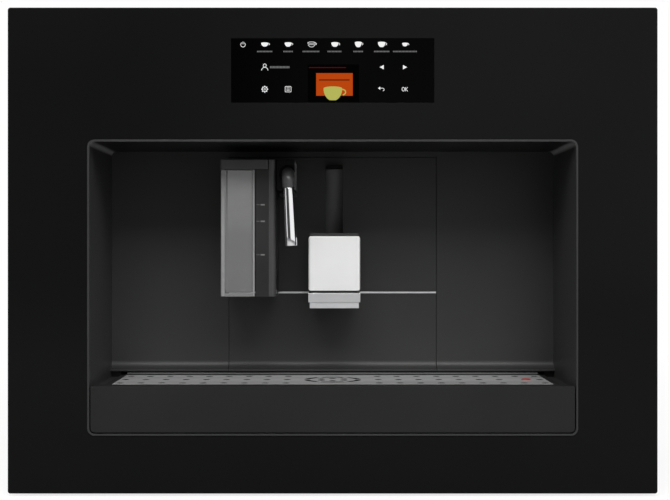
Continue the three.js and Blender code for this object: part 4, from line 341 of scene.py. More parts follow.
# %%
SHARP_ANGLE = np.radians(38)
EDGE_STEPS = 3  # segments of a rounded edge


def grid_faces(rows, columns, wrap_rows=False, wrap_columns=False, first=0):
    """Quads of a grid: point (r, c) is number first + r * columns + c."""
    r = np.arange(rows if wrap_rows else rows - 1)
    c = np.arange(columns if wrap_columns else columns - 1)
    r, c = (grid.ravel() for grid in np.meshgrid(r, c, indexing="ij"))
    next_r, next_c = (r + 1) % rows, (c + 1) % columns
    here, ahead = r * columns, next_r * columns
    corners = np.stack([here + c, here + next_c, ahead + next_c, ahead + c], axis=1)
    return (corners + first).tolist()


def make_piece(name, points, faces, body, material, smooth=True):
    """A mesh at the origin, with its place in its points, that rides on a body. Where two faces
    meet at more than the sharp angle the edge stays sharp; softer edges are shaded smooth."""
    mesh = bpy.data.meshes.new(name)
    mesh.from_pydata(place(points).reshape(-1, 3).tolist(), [], faces)
    mesh.validate()
    mesh.polygons.foreach_set("use_smooth", np.full(len(mesh.polygons), smooth))
    if smooth:
        mesh.set_sharp_from_angle(angle=SHARP_ANGLE)
    mesh.materials.append(material)
    piece = bpy.data.objects.new(name, mesh)
    bpy.context.scene.collection.objects.link(piece)
    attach(piece, body)
    print(name, len(mesh.polygons), "faces")
    return piece


def thicken(piece, name, thickness, offset=0):
    """Gives a surface its thickness in millimetres, to both sides (0) or to its back (-1)."""
    skin = piece.modifiers.new(name, "SOLIDIFY")
    skin.thickness, skin.offset = thickness / 1000, offset


def round_edges(piece, name, width):
    """Rounds the sharp edges by a width in millimetres and leaves the flat faces' shading flat."""
    rounding = piece.modifiers.new(name, "BEVEL")
    rounding.width, rounding.segments, rounding.limit_method = width / 1000, EDGE_STEPS, "ANGLE"
    rounding.harden_normals = True


def facing_out(points, faces):
    """Turns all faces round if the volume inside them, by the divergence rule, is negative."""
    flat = np.asarray(points, dtype=float).reshape(-1, 3)
    quads = np.array([face[:4] if len(face) > 3 else [*face, face[-1]] for face in faces])
    a, b, c, d = (flat[quads[:, i]] for i in range(4))
    volume = (np.cross(b - a, c - a) * a).sum() + (np.cross(c - a, d - a) * a).sum()
    return faces if volume > 0 else [face[::-1] for face in faces]


# %% [markdown]
# ## Milk spout
# The spout is a drawn tube, polished and chromed, that swells slightly towards its mouth and hangs
# a few degrees off the vertical. A mirror shows every facet, so it is turned again here with a
# fine profile. It and its elbow lean together about the pivot in the frother head.

# %%
LEAN = np.radians(2.7)
PIVOT = np.array([-42.4, 43.0, 297.6])


def lean(points):
    """Turns points about y through the pivot: x' = x cos a - z sin a, z' = x sin a + z cos a."""
    x, y, z = np.moveaxis(np.asarray(points, dtype=float), -1, 0)
    turned = [x * np.cos(LEAN) - z * np.sin(LEAN), y, x * np.sin(LEAN) + z * np.cos(LEAN)]
    return np.stack(turned, axis=-1) + PIVOT


def turned_surface(profile, sides):
    """Surface of revolution about z: (r, h) goes to (r cos t, r sin t, h)."""
    r, h = np.array(profile, dtype=float).T
    t = np.linspace(0, 2 * np.pi, sides, endpoint=False)
    x, y, z = np.outer(r, np.cos(t)), np.outer(r, np.sin(t)), np.outer(h, np.ones(sides))
    return np.stack([x, y, z], axis=-1)


def quarter(cx, cz, radius, start, stop, steps=6):
    """Points on an arc: centre plus radius times (cos a, sin a), from start to stop degrees."""
    a = np.radians(np.linspace(start, stop, steps))
    return np.stack([cx + radius * np.cos(a), cz + radius * np.sin(a)], axis=1).tolist()


TUBE_SIDES, ELBOW_SIDES, ELBOW_BEND = 72, 40, 7.5
# (radius, height above the pivot), up the outside from the mouth and back down the bore
tube_profile = (
    quarter(3.5, -68.3, 0.4, 180, 270, 4)
    + quarter(5.2, -68.2, 0.5, 270, 360, 5)
    + [[5.68, -60.0], [5.5, -45.0], [5.25, -28.0]]
    + quarter(4.8, -14.1, 0.3, 0, 90, 4)
    + [[4.1, -13.8], [4.1, -9.8], [3.1, -9.8]]
)
tube = lean(turned_surface(tube_profile, TUBE_SIDES))
tube_faces = facing_out(tube, grid_faces(len(tube_profile), TUBE_SIDES, True, True))
spout_tube = make_piece("spout_tube_turned", tube, tube_faces, "milk_spout", chrome)
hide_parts("milk_spout_tube")

# %% [markdown]
# The elbow is a moulded bend: a round section carried along a path that comes out of the head,
# turns down through a quarter circle and ends in a collar.

# %%
def elbow_surface():
    """Path in the (y, z) plane: straight in, a quarter circle, straight down. At each point the
    circle lies in the plane of x and of the path's normal."""
    straight_in = np.stack([np.linspace(14.7, ELBOW_BEND, 4), np.zeros(4)], axis=1)
    bend = np.array(quarter(ELBOW_BEND, -ELBOW_BEND, ELBOW_BEND, 90, 180, 12))
    down = np.stack([np.zeros(4), np.linspace(-8.5, -13.5, 4)], axis=1)
    path = np.concatenate([straight_in, bend, down])
    along = np.gradient(path, axis=0)
    along /= np.linalg.norm(along, axis=1)[:, None]
    normal = np.stack([-along[:, 1], along[:, 0]], axis=1)
    radius = np.interp(np.arange(len(path)), [0, 12, 16, len(path) - 1], [6.0, 5.9, 5.8, 5.5])
    t = np.linspace(0, 2 * np.pi, ELBOW_SIDES, endpoint=False)
    out = np.outer(radius, np.sin(t))
    y, z = (path[:, i:i + 1] + out * normal[:, i:i + 1] for i in (0, 1))
    return np.stack([np.outer(radius, np.cos(t)), y, z], axis=-1)


def capped(points):
    """Faces of a stack of rings, with both ends closed, all turned outwards."""
    rings, count = points.shape[:2]
    faces = grid_faces(rings, count, wrap_columns=True)
    faces += [list(range(count - 1, -1, -1)), list(range((rings - 1) * count, rings * count))]
    return facing_out(points, faces)


elbow_pp = finished(
    "satin_polypropylene_elbow", 0.3, ("#404040", "#383838"), (20, 0.6, 0.01, 0.4),
    Specular_IOR_Level=0.4)
elbow = lean(elbow_surface())
spout_elbow = make_piece("spout_elbow_moulded", elbow, capped(elbow), "milk_spout",
                         elbow_pp)
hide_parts("milk_spout_elbow")
round_edges(spout_elbow, "collar_edge", 0.6)

# %% [markdown]
# ## Dispenser plate
# The plate is satin stainless sheet, 1.5 mm thick, blanked with round corners and folded back
# round the body. Following the fold with one parameter and the height with the other makes the
# bends part of the surface, and a Solidify modifier gives the sheet its gauge.

# %%
BEND, BLANK_CORNER = 1.7, 2.3


def plate_surface(low, high):
    """Walks round the fold in plan: side, quarter bend, front, quarter bend, side. The blank's
    corners are quarter circles seen from the front, so the height falls off near both sides."""
    x0, x1, y0, y1 = low[0], high[0], low[1], high[1]
    left = np.stack([np.full(8, x0), np.linspace(y1, y0 + BEND, 8)], axis=1)
    bend_left = np.array(quarter(x0 + BEND, y0 + BEND, BEND, 180, 270, 10))
    front = np.stack([np.linspace(x0 + BEND, x1 - BEND, 24), np.full(24, y0)], axis=1)[1:-1]
    bend_right = bend_left[::-1] * [-1, 1] + [x0 + x1, 0]
    right = left[::-1] * [-1, 1] + [x0 + x1, 0]
    plan = np.concatenate([left, bend_left[1:], front, bend_right, right[1:]])
    middle, half = (x0 + x1) / 2, (x1 - x0) / 2
    past = np.clip(np.abs(plan[:, 0] - middle) - (half - BLANK_CORNER), 0, BLANK_CORNER)
    drop = BLANK_CORNER - np.sqrt(BLANK_CORNER**2 - past**2)
    share = np.linspace(0, 1, 30)[:, None]
    bottom, top = low[2] + drop, high[2] - drop
    z = bottom + (top - bottom) * share
    x, y = (np.broadcast_to(plan[:, i], z.shape) for i in (0, 1))
    return np.stack([x, y, z], axis=-1)


sheet = plate_surface(*edges_mm("dispenser_plate"))
plate = make_piece("dispenser_plate_folded", sheet, grid_faces(*sheet.shape[:2]), "dispenser",
                   satin_steel)
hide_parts("dispenser_plate")
thicken(plate, "sheet_gauge", 1.5, -1)
round_edges(plate, "broken_edge", 0.4)

# %% [markdown]
# ## Milk jug
# The jug is a double wall: a clear outer shell over a frosted inner cup. Seen through the shell,
# the frosted wall is a soft grey, painted paler towards the top, and painted highlights stand for
# the bright corners of the shell. Both are stacks of rounded rectangles, so one function serves
# them.

# %%
def rounded_outline(x0, x1, y0, y1, radius, steps=7):
    """Four quarter circles, one in each corner, in order round the outline."""
    centres = [(x1 - radius, y0 + radius, 270), (x1 - radius, y1 - radius, 0),
               (x0 + radius, y1 - radius, 90), (x0 + radius, y0 + radius, 180)]
    return np.concatenate([quarter(cx, cy, radius, a, a + 90, steps) for cx, cy, a in centres])


def stacked_shell(bounds, levels, steps=7, least=0.3):
    """Each level is (inset, height): an outline drawn in by the inset, at that height. Its corners
    keep at least the least radius."""
    x0, x1, y0, y1, radius = bounds
    rings = []
    for inset, height in levels:
        rest = max(radius - inset, least)
        ring = rounded_outline(x0 + inset, x1 - inset, y0 + inset, y1 - inset, rest, steps)
        rings.append(np.column_stack([ring, np.full(len(ring), height)]))
    return np.stack(rings)


shell_plastic = finished(
    "clear_copolyester_jug", 0.08, ("#aeaeae", "#a2a2a2"), (60, 15, 0.002, 0.6), on=("milk_jug",),
    spread=0.02, Alpha=0.12, IOR=1.54, Specular_IOR_Level=0.12)
frosted_painted_light = finished(
    "frosted_inner_wall_painted_light", 0.6, ("#6a6a6a", "#626262"), (70, 1.0, 0.004, 0.6),
    Specular_IOR_Level=0.1)
low, high = edges_mm("milk_jug")
outer = (low[0], high[0], low[1], high[1], 4.0)
# (inset, height), up the outside, over the rim and down the inside
shell_levels = [(1.2, low[2]), (0.35, low[2] + 0.35), (0, low[2] + 1.2), (0, low[2] + 1.3),
                (0, high[2] - 0.7), (0, high[2] - 0.6), (0.3, high[2]), (1.1, high[2]),
                (1.3, high[2] - 0.3), (1.3, low[2] + 5.2), (2.6, low[2] + 4.2)]
shell = stacked_shell(outer, shell_levels)
jug = make_piece("milk_jug_shell", shell, capped(shell), "milk_carafe",
                 shell_plastic)
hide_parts("milk_jug")
# Painted light: the cup's grey is painted paler towards the top, from #484848 low down to #8e8e8e
# at the rim, in place of light the top of the cup lacks.
tree = frosted_painted_light.node_tree
where = add(tree, "ShaderNodeTexCoord").outputs["Object"]
tall = add(tree, "ShaderNodeSeparateXYZ", links={0: where}).outputs["Z"]
limits = {"From Min": 0.2, "From Max": 0.3}
shade = add(tree, "ShaderNodeMapRange", limits, {"Value": tall})
ramp = add(tree, "ShaderNodeValToRGB", links={"Fac": shade.outputs[0]})
for stop, tint in zip(ramp.color_ramp.elements, ("#484848", "#8e8e8e")):
    stop.color = linear(tint)
for position, tint in ((0.045, "#4a4a4a"), (0.4, "#4a4a4a"), (0.65, "#666666")):
    ramp.color_ramp.elements.new(position).color = linear(tint)
tree.links.new(tree.nodes["Principled BSDF"].inputs["Base Color"], ramp.outputs["Color"])
cup_levels = [(2.6, low[2] + 6.0), (1.9, low[2] + 6.8), (1.7, low[2] + 7.8), (1.7, high[2] - 0.8),
              (2.0, high[2] - 0.8), (2.0, low[2] + 8.2), (2.8, low[2] + 7.4)]
cup = stacked_shell(outer, cup_levels)
make_piece("milk_jug_inner_cup", cup, capped(cup), "milk_carafe", frosted_painted_light)

# %% [markdown]
# Looking in from the front, one sees the side walls and the floor of the shell edgeways. Clear
# plastic carries light along its inside like a light guide, so these edges are its brightest
# lines; here they are painted highlights, flat pale strips just behind the front wall. Two darker
# strips are painted shade in the inner corner of the cup and at its foot.

# %%
wall_painted_highlight = finished(
    "painted_highlight_wall_edge", 0.25, ("#868686", "#787878"), (40, 8, 0.004, 0.1), spread=0.03,
    Alpha=0.9, IOR=1.54)
floor_painted_highlight = finished(
    "painted_highlight_floor_edge", 0.25, ("#6e6e6e", "#626262"), (40, 8, 0.004, 0.1), spread=0.03,
    Alpha=0.9, IOR=1.54)
corner_painted_shade = finished(
    "painted_shade_wall_corner", 0.5, ("#4b4b4b", "#454545"), (40, 1.0, 0.004, 0.1),
    Specular_IOR_Level=0.1)
left, right, foot, rim = low[0], high[0], low[2], high[2]
wall_boxes = [(left + 1.3, left + 4.4, foot + 0.6, rim - 0.2),
              (right - 2.3, right - 0.5, foot + 0.6, rim - 0.2)]
floor_boxes = [(left + 4.6, right - 2.5, foot + 0.3, foot + 3.6)]
painted_shade_boxes = [(left + 5.8, left + 7.2, foot + 8.0, rim - 1.0),
                (left + 5.8, right - 3.0, foot + 4.3, foot + 7.4)]


def plates(rectangles, y_front, thickness=0.06):
    """Thin boxes from (x0, x1, z0, z1) with one front: eight corners and six sides each."""
    r = np.array(rectangles, dtype=float)
    x = r[:, [0, 1, 1, 0, 0, 1, 1, 0]]
    z = r[:, [2, 2, 3, 3, 2, 2, 3, 3]]
    y = np.broadcast_to([y_front] * 4 + [y_front + thickness] * 4, x.shape)
    sides = np.array([[0, 1, 2, 3], [5, 4, 7, 6], [4, 0, 3, 7],
                      [1, 5, 6, 2], [3, 2, 6, 7], [4, 5, 1, 0]])
    faces = (sides[None] + 8 * np.arange(len(r))[:, None, None]).reshape(-1, 4).tolist()
    return np.stack([x, y, z], axis=-1), faces


for name, boxes, ahead, thickness, material in (
        ("milk_jug_painted_highlight_walls", wall_boxes, 0.5, 0.9, wall_painted_highlight),
        ("milk_jug_painted_highlight_floor", floor_boxes, 0.5, 0.9, floor_painted_highlight),
        ("milk_jug_painted_shade_corners", painted_shade_boxes, 1.5, 0.15, corner_painted_shade)):
    points, faces = plates(boxes, low[1] + ahead, thickness)
    make_piece(name, points, faces, "milk_carafe", material, smooth=False)

# %% [markdown]
# The grip carries a level scale, printed in light grey: three short dashes on the edge that looks
# forward, with a plain mark beside each.

# %%
print_grey = finished("printed_light_grey", 0.5, ("#606060", "#575757"), (10, 0.5, 0.001, 0.05))
grip_low, grip_high = edges_mm("jug_grip")
marks = []
for height in (267.9, 252.2, 220.3):
    marks += [(-72.6, -69.6, height, height + 0.5), (-68.6, -64.6, height - 0.5, height + 0.9)]
scale, scale_faces = plates(marks, grip_low[1] - 0.05)
make_piece("level_scale", scale, scale_faces, "milk_carafe", print_grey,
           smooth=False)

# %% [markdown]
# The outer corner of the grip is a rounded column moulded over it. Its grey, lighter than the
# grip's, is a painted highlight for the sheen of the rounded corner. It runs up beside the lid.

# %%
column_painted_highlight = finished(
    "polypropylene_painted_highlight", 0.3, ("#393939", "#323232"), (60, 0.6, 0.012, 0.5),
    Specular_IOR_Level=0.3)
COLUMN_RADIUS, COLUMN_WALL, COLUMN_DEPTH = 3.6, 1.2, 20.0


def column_surface():
    """Outline in plan: a short front face, a quarter circle and a side face, then back along a
    line further in by the wall. The outline is drawn up in z; a row close to each end keeps the
    shading of the long faces straight."""
    x0, x1, y0 = grip_high[0] - 6.5, grip_high[0] + 0.06, grip_low[1] - 0.06
    cx, cy, deep = x1 - COLUMN_RADIUS, y0 + COLUMN_RADIUS, y0 + COLUMN_DEPTH
    outer = [[x0, y0], *quarter(cx, cy, COLUMN_RADIUS, 270, 360, 12), [x1, deep]]
    inner = [[x1 - COLUMN_WALL, deep], *quarter(cx, cy, COLUMN_RADIUS - COLUMN_WALL, 360, 270, 12),
             [x0, y0 + COLUMN_WALL]]
    plan = np.array(outer + inner)
    foot, top = grip_low[2] + 0.3, grip_high[2] - 0.05
    z = np.array([foot, foot + 0.05, top - 0.05, top])[:, None]
    x, y = (np.broadcast_to(plan[:, i], (4, len(plan))) for i in (0, 1))
    return np.stack([x, y, z + 0 * x], axis=-1)


column = column_surface()
make_piece("grip_column_cover", column, capped(column), "milk_carafe", column_painted_highlight)

# %% [markdown]
# The frother head has a smooth side plate that closes its milk passage. It faces the dispenser,
# and its pale grey is a painted highlight: the lighter strip seen beside the spout.

# %%
side_plate_painted_highlight = finished(
    "abs_cover_painted_highlight", 0.35, ("#919191", "#878787"), (30, 0.6, 0.008, 0.3), Specular_IOR_Level=0.3)
low, high = edges_mm("frother_head")
outer = (low[1], high[1], low[2], high[2], 3.1)
side_plate = stacked_shell(outer, [(0.6, high[0]), (0.6, high[0] + 0.22)], 6)[..., [2, 0, 1]]
make_piece("frother_side_plate", side_plate, capped(side_plate), "milk_carafe",
           side_plate_painted_highlight, smooth=False)

# %% [markdown]
# ## Groove of the dispenser
# Behind the slot in the fascia lies a half-round groove. A smooth liner follows its wall, so that
# it shades as one curve from its dark edges to its lighter middle. Its grey is painted paler than
# the fascia's, with painted shade on its flanks, darker towards one side. A black block is a
# painted shadow across its top end.

# %%
GROOVE_X, GROOVE_Y, GROOVE_RADIUS = 1.6, 135.0, 9.9
GROOVE_FOOT, GROOVE_TOP = 190.2, 308.8


def groove_surface():
    """Half cylinder about an upright line. A row close to each end keeps the shading of the long
    faces straight."""
    plan = np.array(quarter(GROOVE_X, GROOVE_Y, GROOVE_RADIUS, 0, 180, 33))
    z = [GROOVE_FOOT, GROOVE_FOOT + 0.05, *np.linspace(191, 308, 21), GROOVE_TOP - 0.05, GROOVE_TOP]
    x, y = (np.broadcast_to(plan[:, i], (len(z), 33)) for i in (0, 1))
    return np.stack([x, y, np.array(z)[:, None] + 0 * x], axis=-1)


groove_painted_light = finished(
    "abs_groove_painted_light", 0.5, ("#787878", "#737373"), (120, 0.9, 0.02, 0.1),
    Specular_IOR_Level=0.2)
# Painted shade: the colour is darkened by the square of the normal's x on the flanks, and more
# towards one side.
tree = groove_painted_light.node_tree
across = normal_of(groove_painted_light)["X"]
flank_painted_shade = add(tree, MATH, {"operation": "MULTIPLY"}, {0: across, 1: across}).outputs[0]
darker = {"operation": "MULTIPLY_ADD", 1: -0.5, 2: 1.12}
tone = add(tree, MATH, darker, {0: flank_painted_shade}).outputs[0]
one_flank_painted_shade = {"operation": "MULTIPLY_ADD", 1: -0.3}
shade_by(groove_painted_light, add(tree, MATH, one_flank_painted_shade, {0: across, 2: tone}).outputs[0])
groove = groove_surface()
groove_piece = make_piece("groove_liner", groove, grid_faces(*groove.shape[:2]), "machine",
                          groove_painted_light)
thicken(groove_piece, "skin", 0.06)

# Painted shadow: a black block where the top of the groove lies in shade.
top_painted_shadow = finished(
    "black_painted_shadow", 0.7, ("#101010", "#0c0c0c"), (10, 0.5, 0.02, 0.3), Specular_IOR_Level=0.1)
block, block_faces = plates([(-6.9, 10.1, 306.7, 308.9)], 101.0, 33.0)
top_shadow_block = make_piece("groove_top_painted_shadow", block, block_faces, "machine",
                      top_painted_shadow)
round_edges(top_shadow_block, "shadow_block_edge", 1.0)

# %% [markdown]
# ## Holes of the grille
# Every hole of the grille is given a dark wall: painted shade, in place of the shade inside the
# hole. Each wall is a closed outline drawn down through the sheet, with a narrow dark rim on top,
# so the holes are round and read as dark from the front. All outlines have the same number of
# points, so that one grid serves them all.

# %%
hole_painted_shade = finished("grille_hole_painted_shade", 0.6, ("#191613", "#0f0e0d"), (4, 0.4, 0.02, 0.02), metallic=0.2)
GRILLE_TOP = edges_mm("drip_grille")[1][2]
GRILLE_MIDDLE, ROW_PITCH, HOLE_PITCH, FIRST_HOLE = 70.6, 34.0, 19.5, 44
FLOAT_X, FLOAT_CLEARANCE = 187, 12.4
INNER_CIRCLE, SLOT_CIRCLE, SLOT_WIDTH, SLOT_HALF = 12.5, 25.0, 3.6, np.radians(23)
POINTS = 32
LEVELS = (0.03, 0.03, -1.25)  # outer rim, inner rim and foot of a wall, above the sheet


def hole_walls_at(x, y):
    """Three circles of POINTS points: the outer rim, the inner rim and the foot of the wall."""
    a = np.linspace(0, 2 * np.pi, POINTS, endpoint=False)
    circle = np.stack([np.cos(a), np.sin(a)], axis=1)
    return np.stack([circle * radius + [x, y] for radius in (3.5, 2.45, 2.45)])


def slot_outline(middle, half, width):
    """An arc of slot: out along its outer edge, back along its inner edge."""
    a = np.linspace(middle - half, middle + half, POINTS // 2)
    edge = np.stack([np.cos(a), np.sin(a)], axis=1)
    both = [edge * (SLOT_CIRCLE + width / 2), edge[::-1] * (SLOT_CIRCLE - width / 2)]
    return np.concatenate(both) + [0, GRILLE_MIDDLE]


def slot_walls_at(middle):
    """The same three outlines for a slot: a rim that is wider, then the wall, a little inside."""
    return np.stack([slot_outline(middle, SLOT_HALF + longer, SLOT_WIDTH + wider)
                     for longer, wider in ((0.03, 1.6), (-0.01, -0.3), (-0.01, -0.3))])


places = [(x, GRILLE_MIDDLE + row * ROW_PITCH)
          for x in FIRST_HOLE + HOLE_PITCH * np.arange(9) for row in (-1, 0, 1)]
places = [(side * x, y) for x, y in places for side in (-1, 1)]
places = [(x, y) for x, y in places
          if np.hypot(x - FLOAT_X, y - GRILLE_MIDDLE) > FLOAT_CLEARANCE]
sixths = np.radians(30 + 60 * np.arange(6))
places += [(INNER_CIRCLE * np.cos(a), GRILLE_MIDDLE + INNER_CIRCLE * np.sin(a)) for a in sixths]
plan = np.stack([hole_walls_at(x, y) for x, y in places] + [slot_walls_at(a) for a in sixths])
heights = np.broadcast_to(np.array(LEVELS)[None, :, None, None] + GRILLE_TOP, (*plan.shape[:3], 1))
points = np.concatenate([plan, heights], axis=-1)
faces = [face for i in range(len(plan))
         for face in grid_faces(3, POINTS, wrap_columns=True, first=i * 3 * POINTS)]
hole_walls = make_piece("grille_hole_walls", points, faces, "drip_tray", hole_painted_shade,
                        smooth=False)
thicken(hole_walls, "skin", 0.03)

# %% [markdown]
# Behind the grille the basin's rim carries a bead that keeps drops from running over the back.

# %%
bead_abs = finished(
    "tray_bead_abs", 0.35, ("#191919", "#151515"), (60, 0.7, 0.01, 0.2), Specular_IOR_Level=0.3)
BEAD_Y, BEAD_Z, BEAD_END = 121.9, 100.0, 206.5
a = np.radians(np.linspace(0, 180, 9))
section = np.stack([-1.4 * np.cos(a), 2.5 * np.sin(a)])
x = np.concatenate([[-BEAD_END], np.linspace(0.5 - BEAD_END, BEAD_END - 0.5, 60), [BEAD_END]])
shrink = np.where(np.abs(x) < BEAD_END, 1.0, 0.2)[:, None]
points = np.stack([x[:, None] + 0 * section[0], BEAD_Y + section[0] * shrink,
                   BEAD_Z + section[1] * shrink], axis=-1)
make_piece("tray_rear_bead", points, capped(points), "drip_tray", bead_abs)

# %% [markdown]
# ## Lip of the recess
# The edge of the recess stands a hair proud of the glass and is rounded over, which draws a thin
# bright line round the opening; its grey, paler than the recess, adds a painted highlight to that
# line. The bead is a half-round profile carried round the outline, which is the same as a stack of
# outlines, each pushed a little further out than the last.

# %%
edge_painted_highlight = finished(
    "abs_edge_painted_highlight", 0.3, ("#4a4a4a", "#424242"), (60, 1.0, 0.004, 0.2), spread=0.03,
    Specular_IOR_Level=0.45)
# Across the wall the bead is a half ellipse, and its levels run from inside to outside.
BEAD_HALF, BEAD_RISE, BEAD_FOOT = 0.62, 0.4, 0.5
a = np.radians(np.linspace(0, 180, 9))
levels = np.stack([-BEAD_HALF * np.cos(a), BEAD_FOOT - BEAD_RISE * np.sin(a)], axis=1)
bead = stacked_shell((-223.5, 223.6, 55.8, 324.8, 5.4), levels, 10)[..., [0, 2, 1]]
make_piece("recess_lip_bead", bead, grid_faces(*bead.shape[:2], True, True), "machine",
           edge_painted_highlight)

# %% [markdown]
# ## Marks on the touch panel
# The symbols are windows in the enamel, lit from behind. Each is drawn with strokes: a line is
# given its width by stepping half of it to either side, along the normal. Below the symbols runs
# a row of small blocks, as wide as a caption and as tall as its letters.

# %%
def lit(name, swatch):
    """A colour that a backlit display gives off, behind black glass."""
    return new_material(name, "#000000", 0.3, Specular_IOR_Level=0.0,
                        Emission_Color=linear(swatch), Emission_Strength=1.0)


strokes = {"points": [], "faces": [], "count": 0}


def push_points(points, faces):
    """Collects the points and faces of one mark, numbered on from the marks before it."""
    strokes["points"].append(np.asarray(points, dtype=float))
    strokes["faces"] += [[corner + strokes["count"] for corner in face] for face in faces]
    strokes["count"] += len(points)


def stroke(line, width=0.42, closed=False):
    """Both edges of a line: each point plus or minus half the width times its normal."""
    line = np.asarray(line, dtype=float)
    if closed:
        along = np.roll(line, -1, axis=0) - np.roll(line, 1, axis=0)
    else:
        along = np.gradient(line, axis=0)
    along /= np.linalg.norm(along, axis=1)[:, None]
    normal = np.stack([-along[:, 1], along[:, 0]], axis=1) * width / 2
    points = np.concatenate([line + normal, line - normal])
    push_points(points, grid_faces(2, len(line), wrap_columns=closed))


def filled(outline):
    """One flat face inside an outline."""
    push_points(outline, [list(range(len(outline)))])


def caption(x0, x1, z, tall, block=0.95, gap=0.35):
    """Blocks with gaps between them, from x0 to x1."""
    for x in np.arange(x0, x1 - 0.9, block + gap):
        filled([[x, z], [x + block, z], [x + block, z + tall], [x, z + tall]])


def ring(cx, cz, rx, rz, start=0, stop=360, steps=24):
    """Points on an ellipse: (cx + rx cos a, cz + rz sin a)."""
    a = np.radians(np.linspace(start, stop, steps))
    return np.stack([cx + rx * np.cos(a), cz + rz * np.sin(a)], axis=1)


def cup_mark(x, z, size=1.0, wide=3.3, tall=4.4, hollow=False):
    """A cup seen a little from above: a bowl that narrows downwards, a flat oval rim, a handle."""
    wide, tall = wide * size, tall * size
    bowl = ring(x, z + 0.45 * tall, wide, tall, 180, 360, 19)
    bowl[:, 1] = np.maximum(bowl[:, 1], z - 0.5 * tall)
    rim = ring(x, z + 0.45 * tall, wide, 0.16 * tall, 0, 345, 24)
    if hollow:
        stroke(bowl, 0.35)
        stroke(rim, 0.35, closed=True)
        stroke([[x - 0.75 * wide, z], [x + 0.75 * wide, z]], 0.35)
    else:
        filled(bowl)
        filled(rim)
    stroke(ring(x + wide, z + 0.15 * tall, 0.36 * wide, 0.22 * tall, -80, 100, 11), 0.42 * size)


touch_low, touch_high = edges_mm("touch_panel")
GLASS_FRONT = touch_low[1]
columns = np.linspace(-62.2, 66.3, 7)
# rows, counted down from the top edge of the panel
row_one, row_labels, row_two, row_three = touch_high[2] - np.array([5.6, 11.8, 26.2, 46.4])
POWER_X = -82.1
stroke(ring(POWER_X, row_one, 2.1, 2.1, 120, 420, 20), 0.5)
stroke([[POWER_X, row_one + 0.4], [POWER_X, row_one + 2.7]], 0.5)
# half width and height of each cup, and whether it is drawn hollow
shapes = [(3.3, 3.4, False), (3.2, 3.6, False), (3.3, 4.2, True), (3.3, 3.8, False),
          (3.1, 4.6, False), (3.4, 4.4, False), (2.6, 3.0, False)]
for x, (wide, tall, hollow) in zip(columns, shapes):
    cup_mark(x, row_one, 1.0, wide, tall, hollow)
stroke(ring(columns[0], row_two + 1.5, 1.4, 1.5, 0, 345, 16), 0.5, closed=True)
stroke(ring(columns[0], row_two - 3.0, 2.9, 2.9, 0, 180, 13), 0.5)
for x, way in ((columns[5], -1), (columns[6], 1)):
    filled([[x - 1.9 * way, row_two - 2.0 * way], [x + 1.9 * way, row_two],
            [x - 1.9 * way, row_two + 2.0 * way]])
wheel = np.array([columns[0], row_three])
stroke(ring(*wheel, 2.2, 2.2, 0, 345, 24), 0.6, closed=True)
stroke(ring(*wheel, 0.8, 0.8, 0, 330, 12), 0.4, closed=True)
for a in np.radians(np.arange(0, 360, 45)):
    tip = np.array([np.cos(a), np.sin(a)])
    stroke([tip * 2.2 + wheel, tip * 3.1 + wheel], 0.8)
x = columns[1]
frame_line = rounded_outline(x - 2.7, x + 2.7, row_three - 2.5, row_three + 2.5, 0.6, 4)
stroke(frame_line, 0.45, closed=True)
for z in (1.3, 0.0, -1.3):
    stroke([[x - 1.5, row_three + z], [x + 1.5, row_three + z]], 0.4)
x = columns[5]
stroke([[x - 2.4, row_three + 0.9], [x + 1.2, row_three + 0.9], [x + 2.2, row_three + 0.2],
        [x + 2.2, row_three - 0.9], [x + 1.2, row_three - 1.7]], 0.5)
filled([[x - 1.3, row_three - 0.6], [x - 1.3, row_three + 2.4], [x - 3.4, row_three + 0.9]])
x = columns[6]
stroke(ring(x - 1.6, row_three, 1.2, 1.7, 0, 345, 20), 0.5, closed=True)
stroke([[x + 0.5, row_three - 1.8], [x + 0.5, row_three + 1.8]], 0.5)
stroke([[x + 2.4, row_three + 1.8], [x + 0.7, row_three], [x + 2.5, row_three - 1.8]], 0.5)


def lift_marks(name, y_front, material, thickness=0.04):
    """Turns the collected marks into one thin piece on the glass."""
    flat = np.concatenate(strokes["points"])
    points = np.column_stack([flat[:, 0], np.full(len(flat), y_front), flat[:, 1]])
    piece = make_piece(name, points, strokes["faces"], "machine", material,
                       smooth=False)
    thicken(piece, "ink", thickness)
    strokes.update(points=[], faces=[], count=0)


lift_marks("touch_symbols", GLASS_FRONT - 0.05, lit("lit_white_window", "#f4f4f4"))
for x, width in zip(columns, (14.1, 9.0, 16.3, 13.5, 9.0, 13.9, 22.0)):
    caption(x - width / 2, x + width / 2, row_labels - 0.7, 1.3)
caption(-57.4, -39.5, row_two - 1.0, 1.9)
lift_marks("touch_captions", GLASS_FRONT - 0.05, lit("lit_grey_window", "#6f6f6f"))

# %% [markdown]
# ## Display
# The display lies behind the same glass. It shows one orange tile with a bar in it, a thin red
# line above, and a cup of its own drawing below.

# %%
# name, rectangles (x0, x1, z0, z1), distance in front of the glass, light
tiles = [
    ("display_field", [(-22.7, 24.1, 360.7, 395.0)], 0.02, lit("display_black", "#030303")),
    ("display_rule", [(-21.7, 12.2, 391.8, 392.4)], 0.06, lit("display_red", "#5c1216")),
    ("display_tile", [(-15.1, 18.4, 366.3, 387.0)], 0.07, lit("display_orange", "#b84410")),
    ("display_tile_bar", [(-12.5, 15.5, 380.2, 381.3)], 0.12, lit("display_bar", "#5e1c06")),
]
for name, rectangles, ahead, material in tiles:
    points, faces = plates(rectangles, GLASS_FRONT - ahead - 0.05)
    make_piece(name, points, faces, "machine", material, smooth=False)
cup_mark(0.2, 367.9, 2.6)
lift_marks("display_cup", GLASS_FRONT - 0.2, lit("display_green", "#b4b45a"))

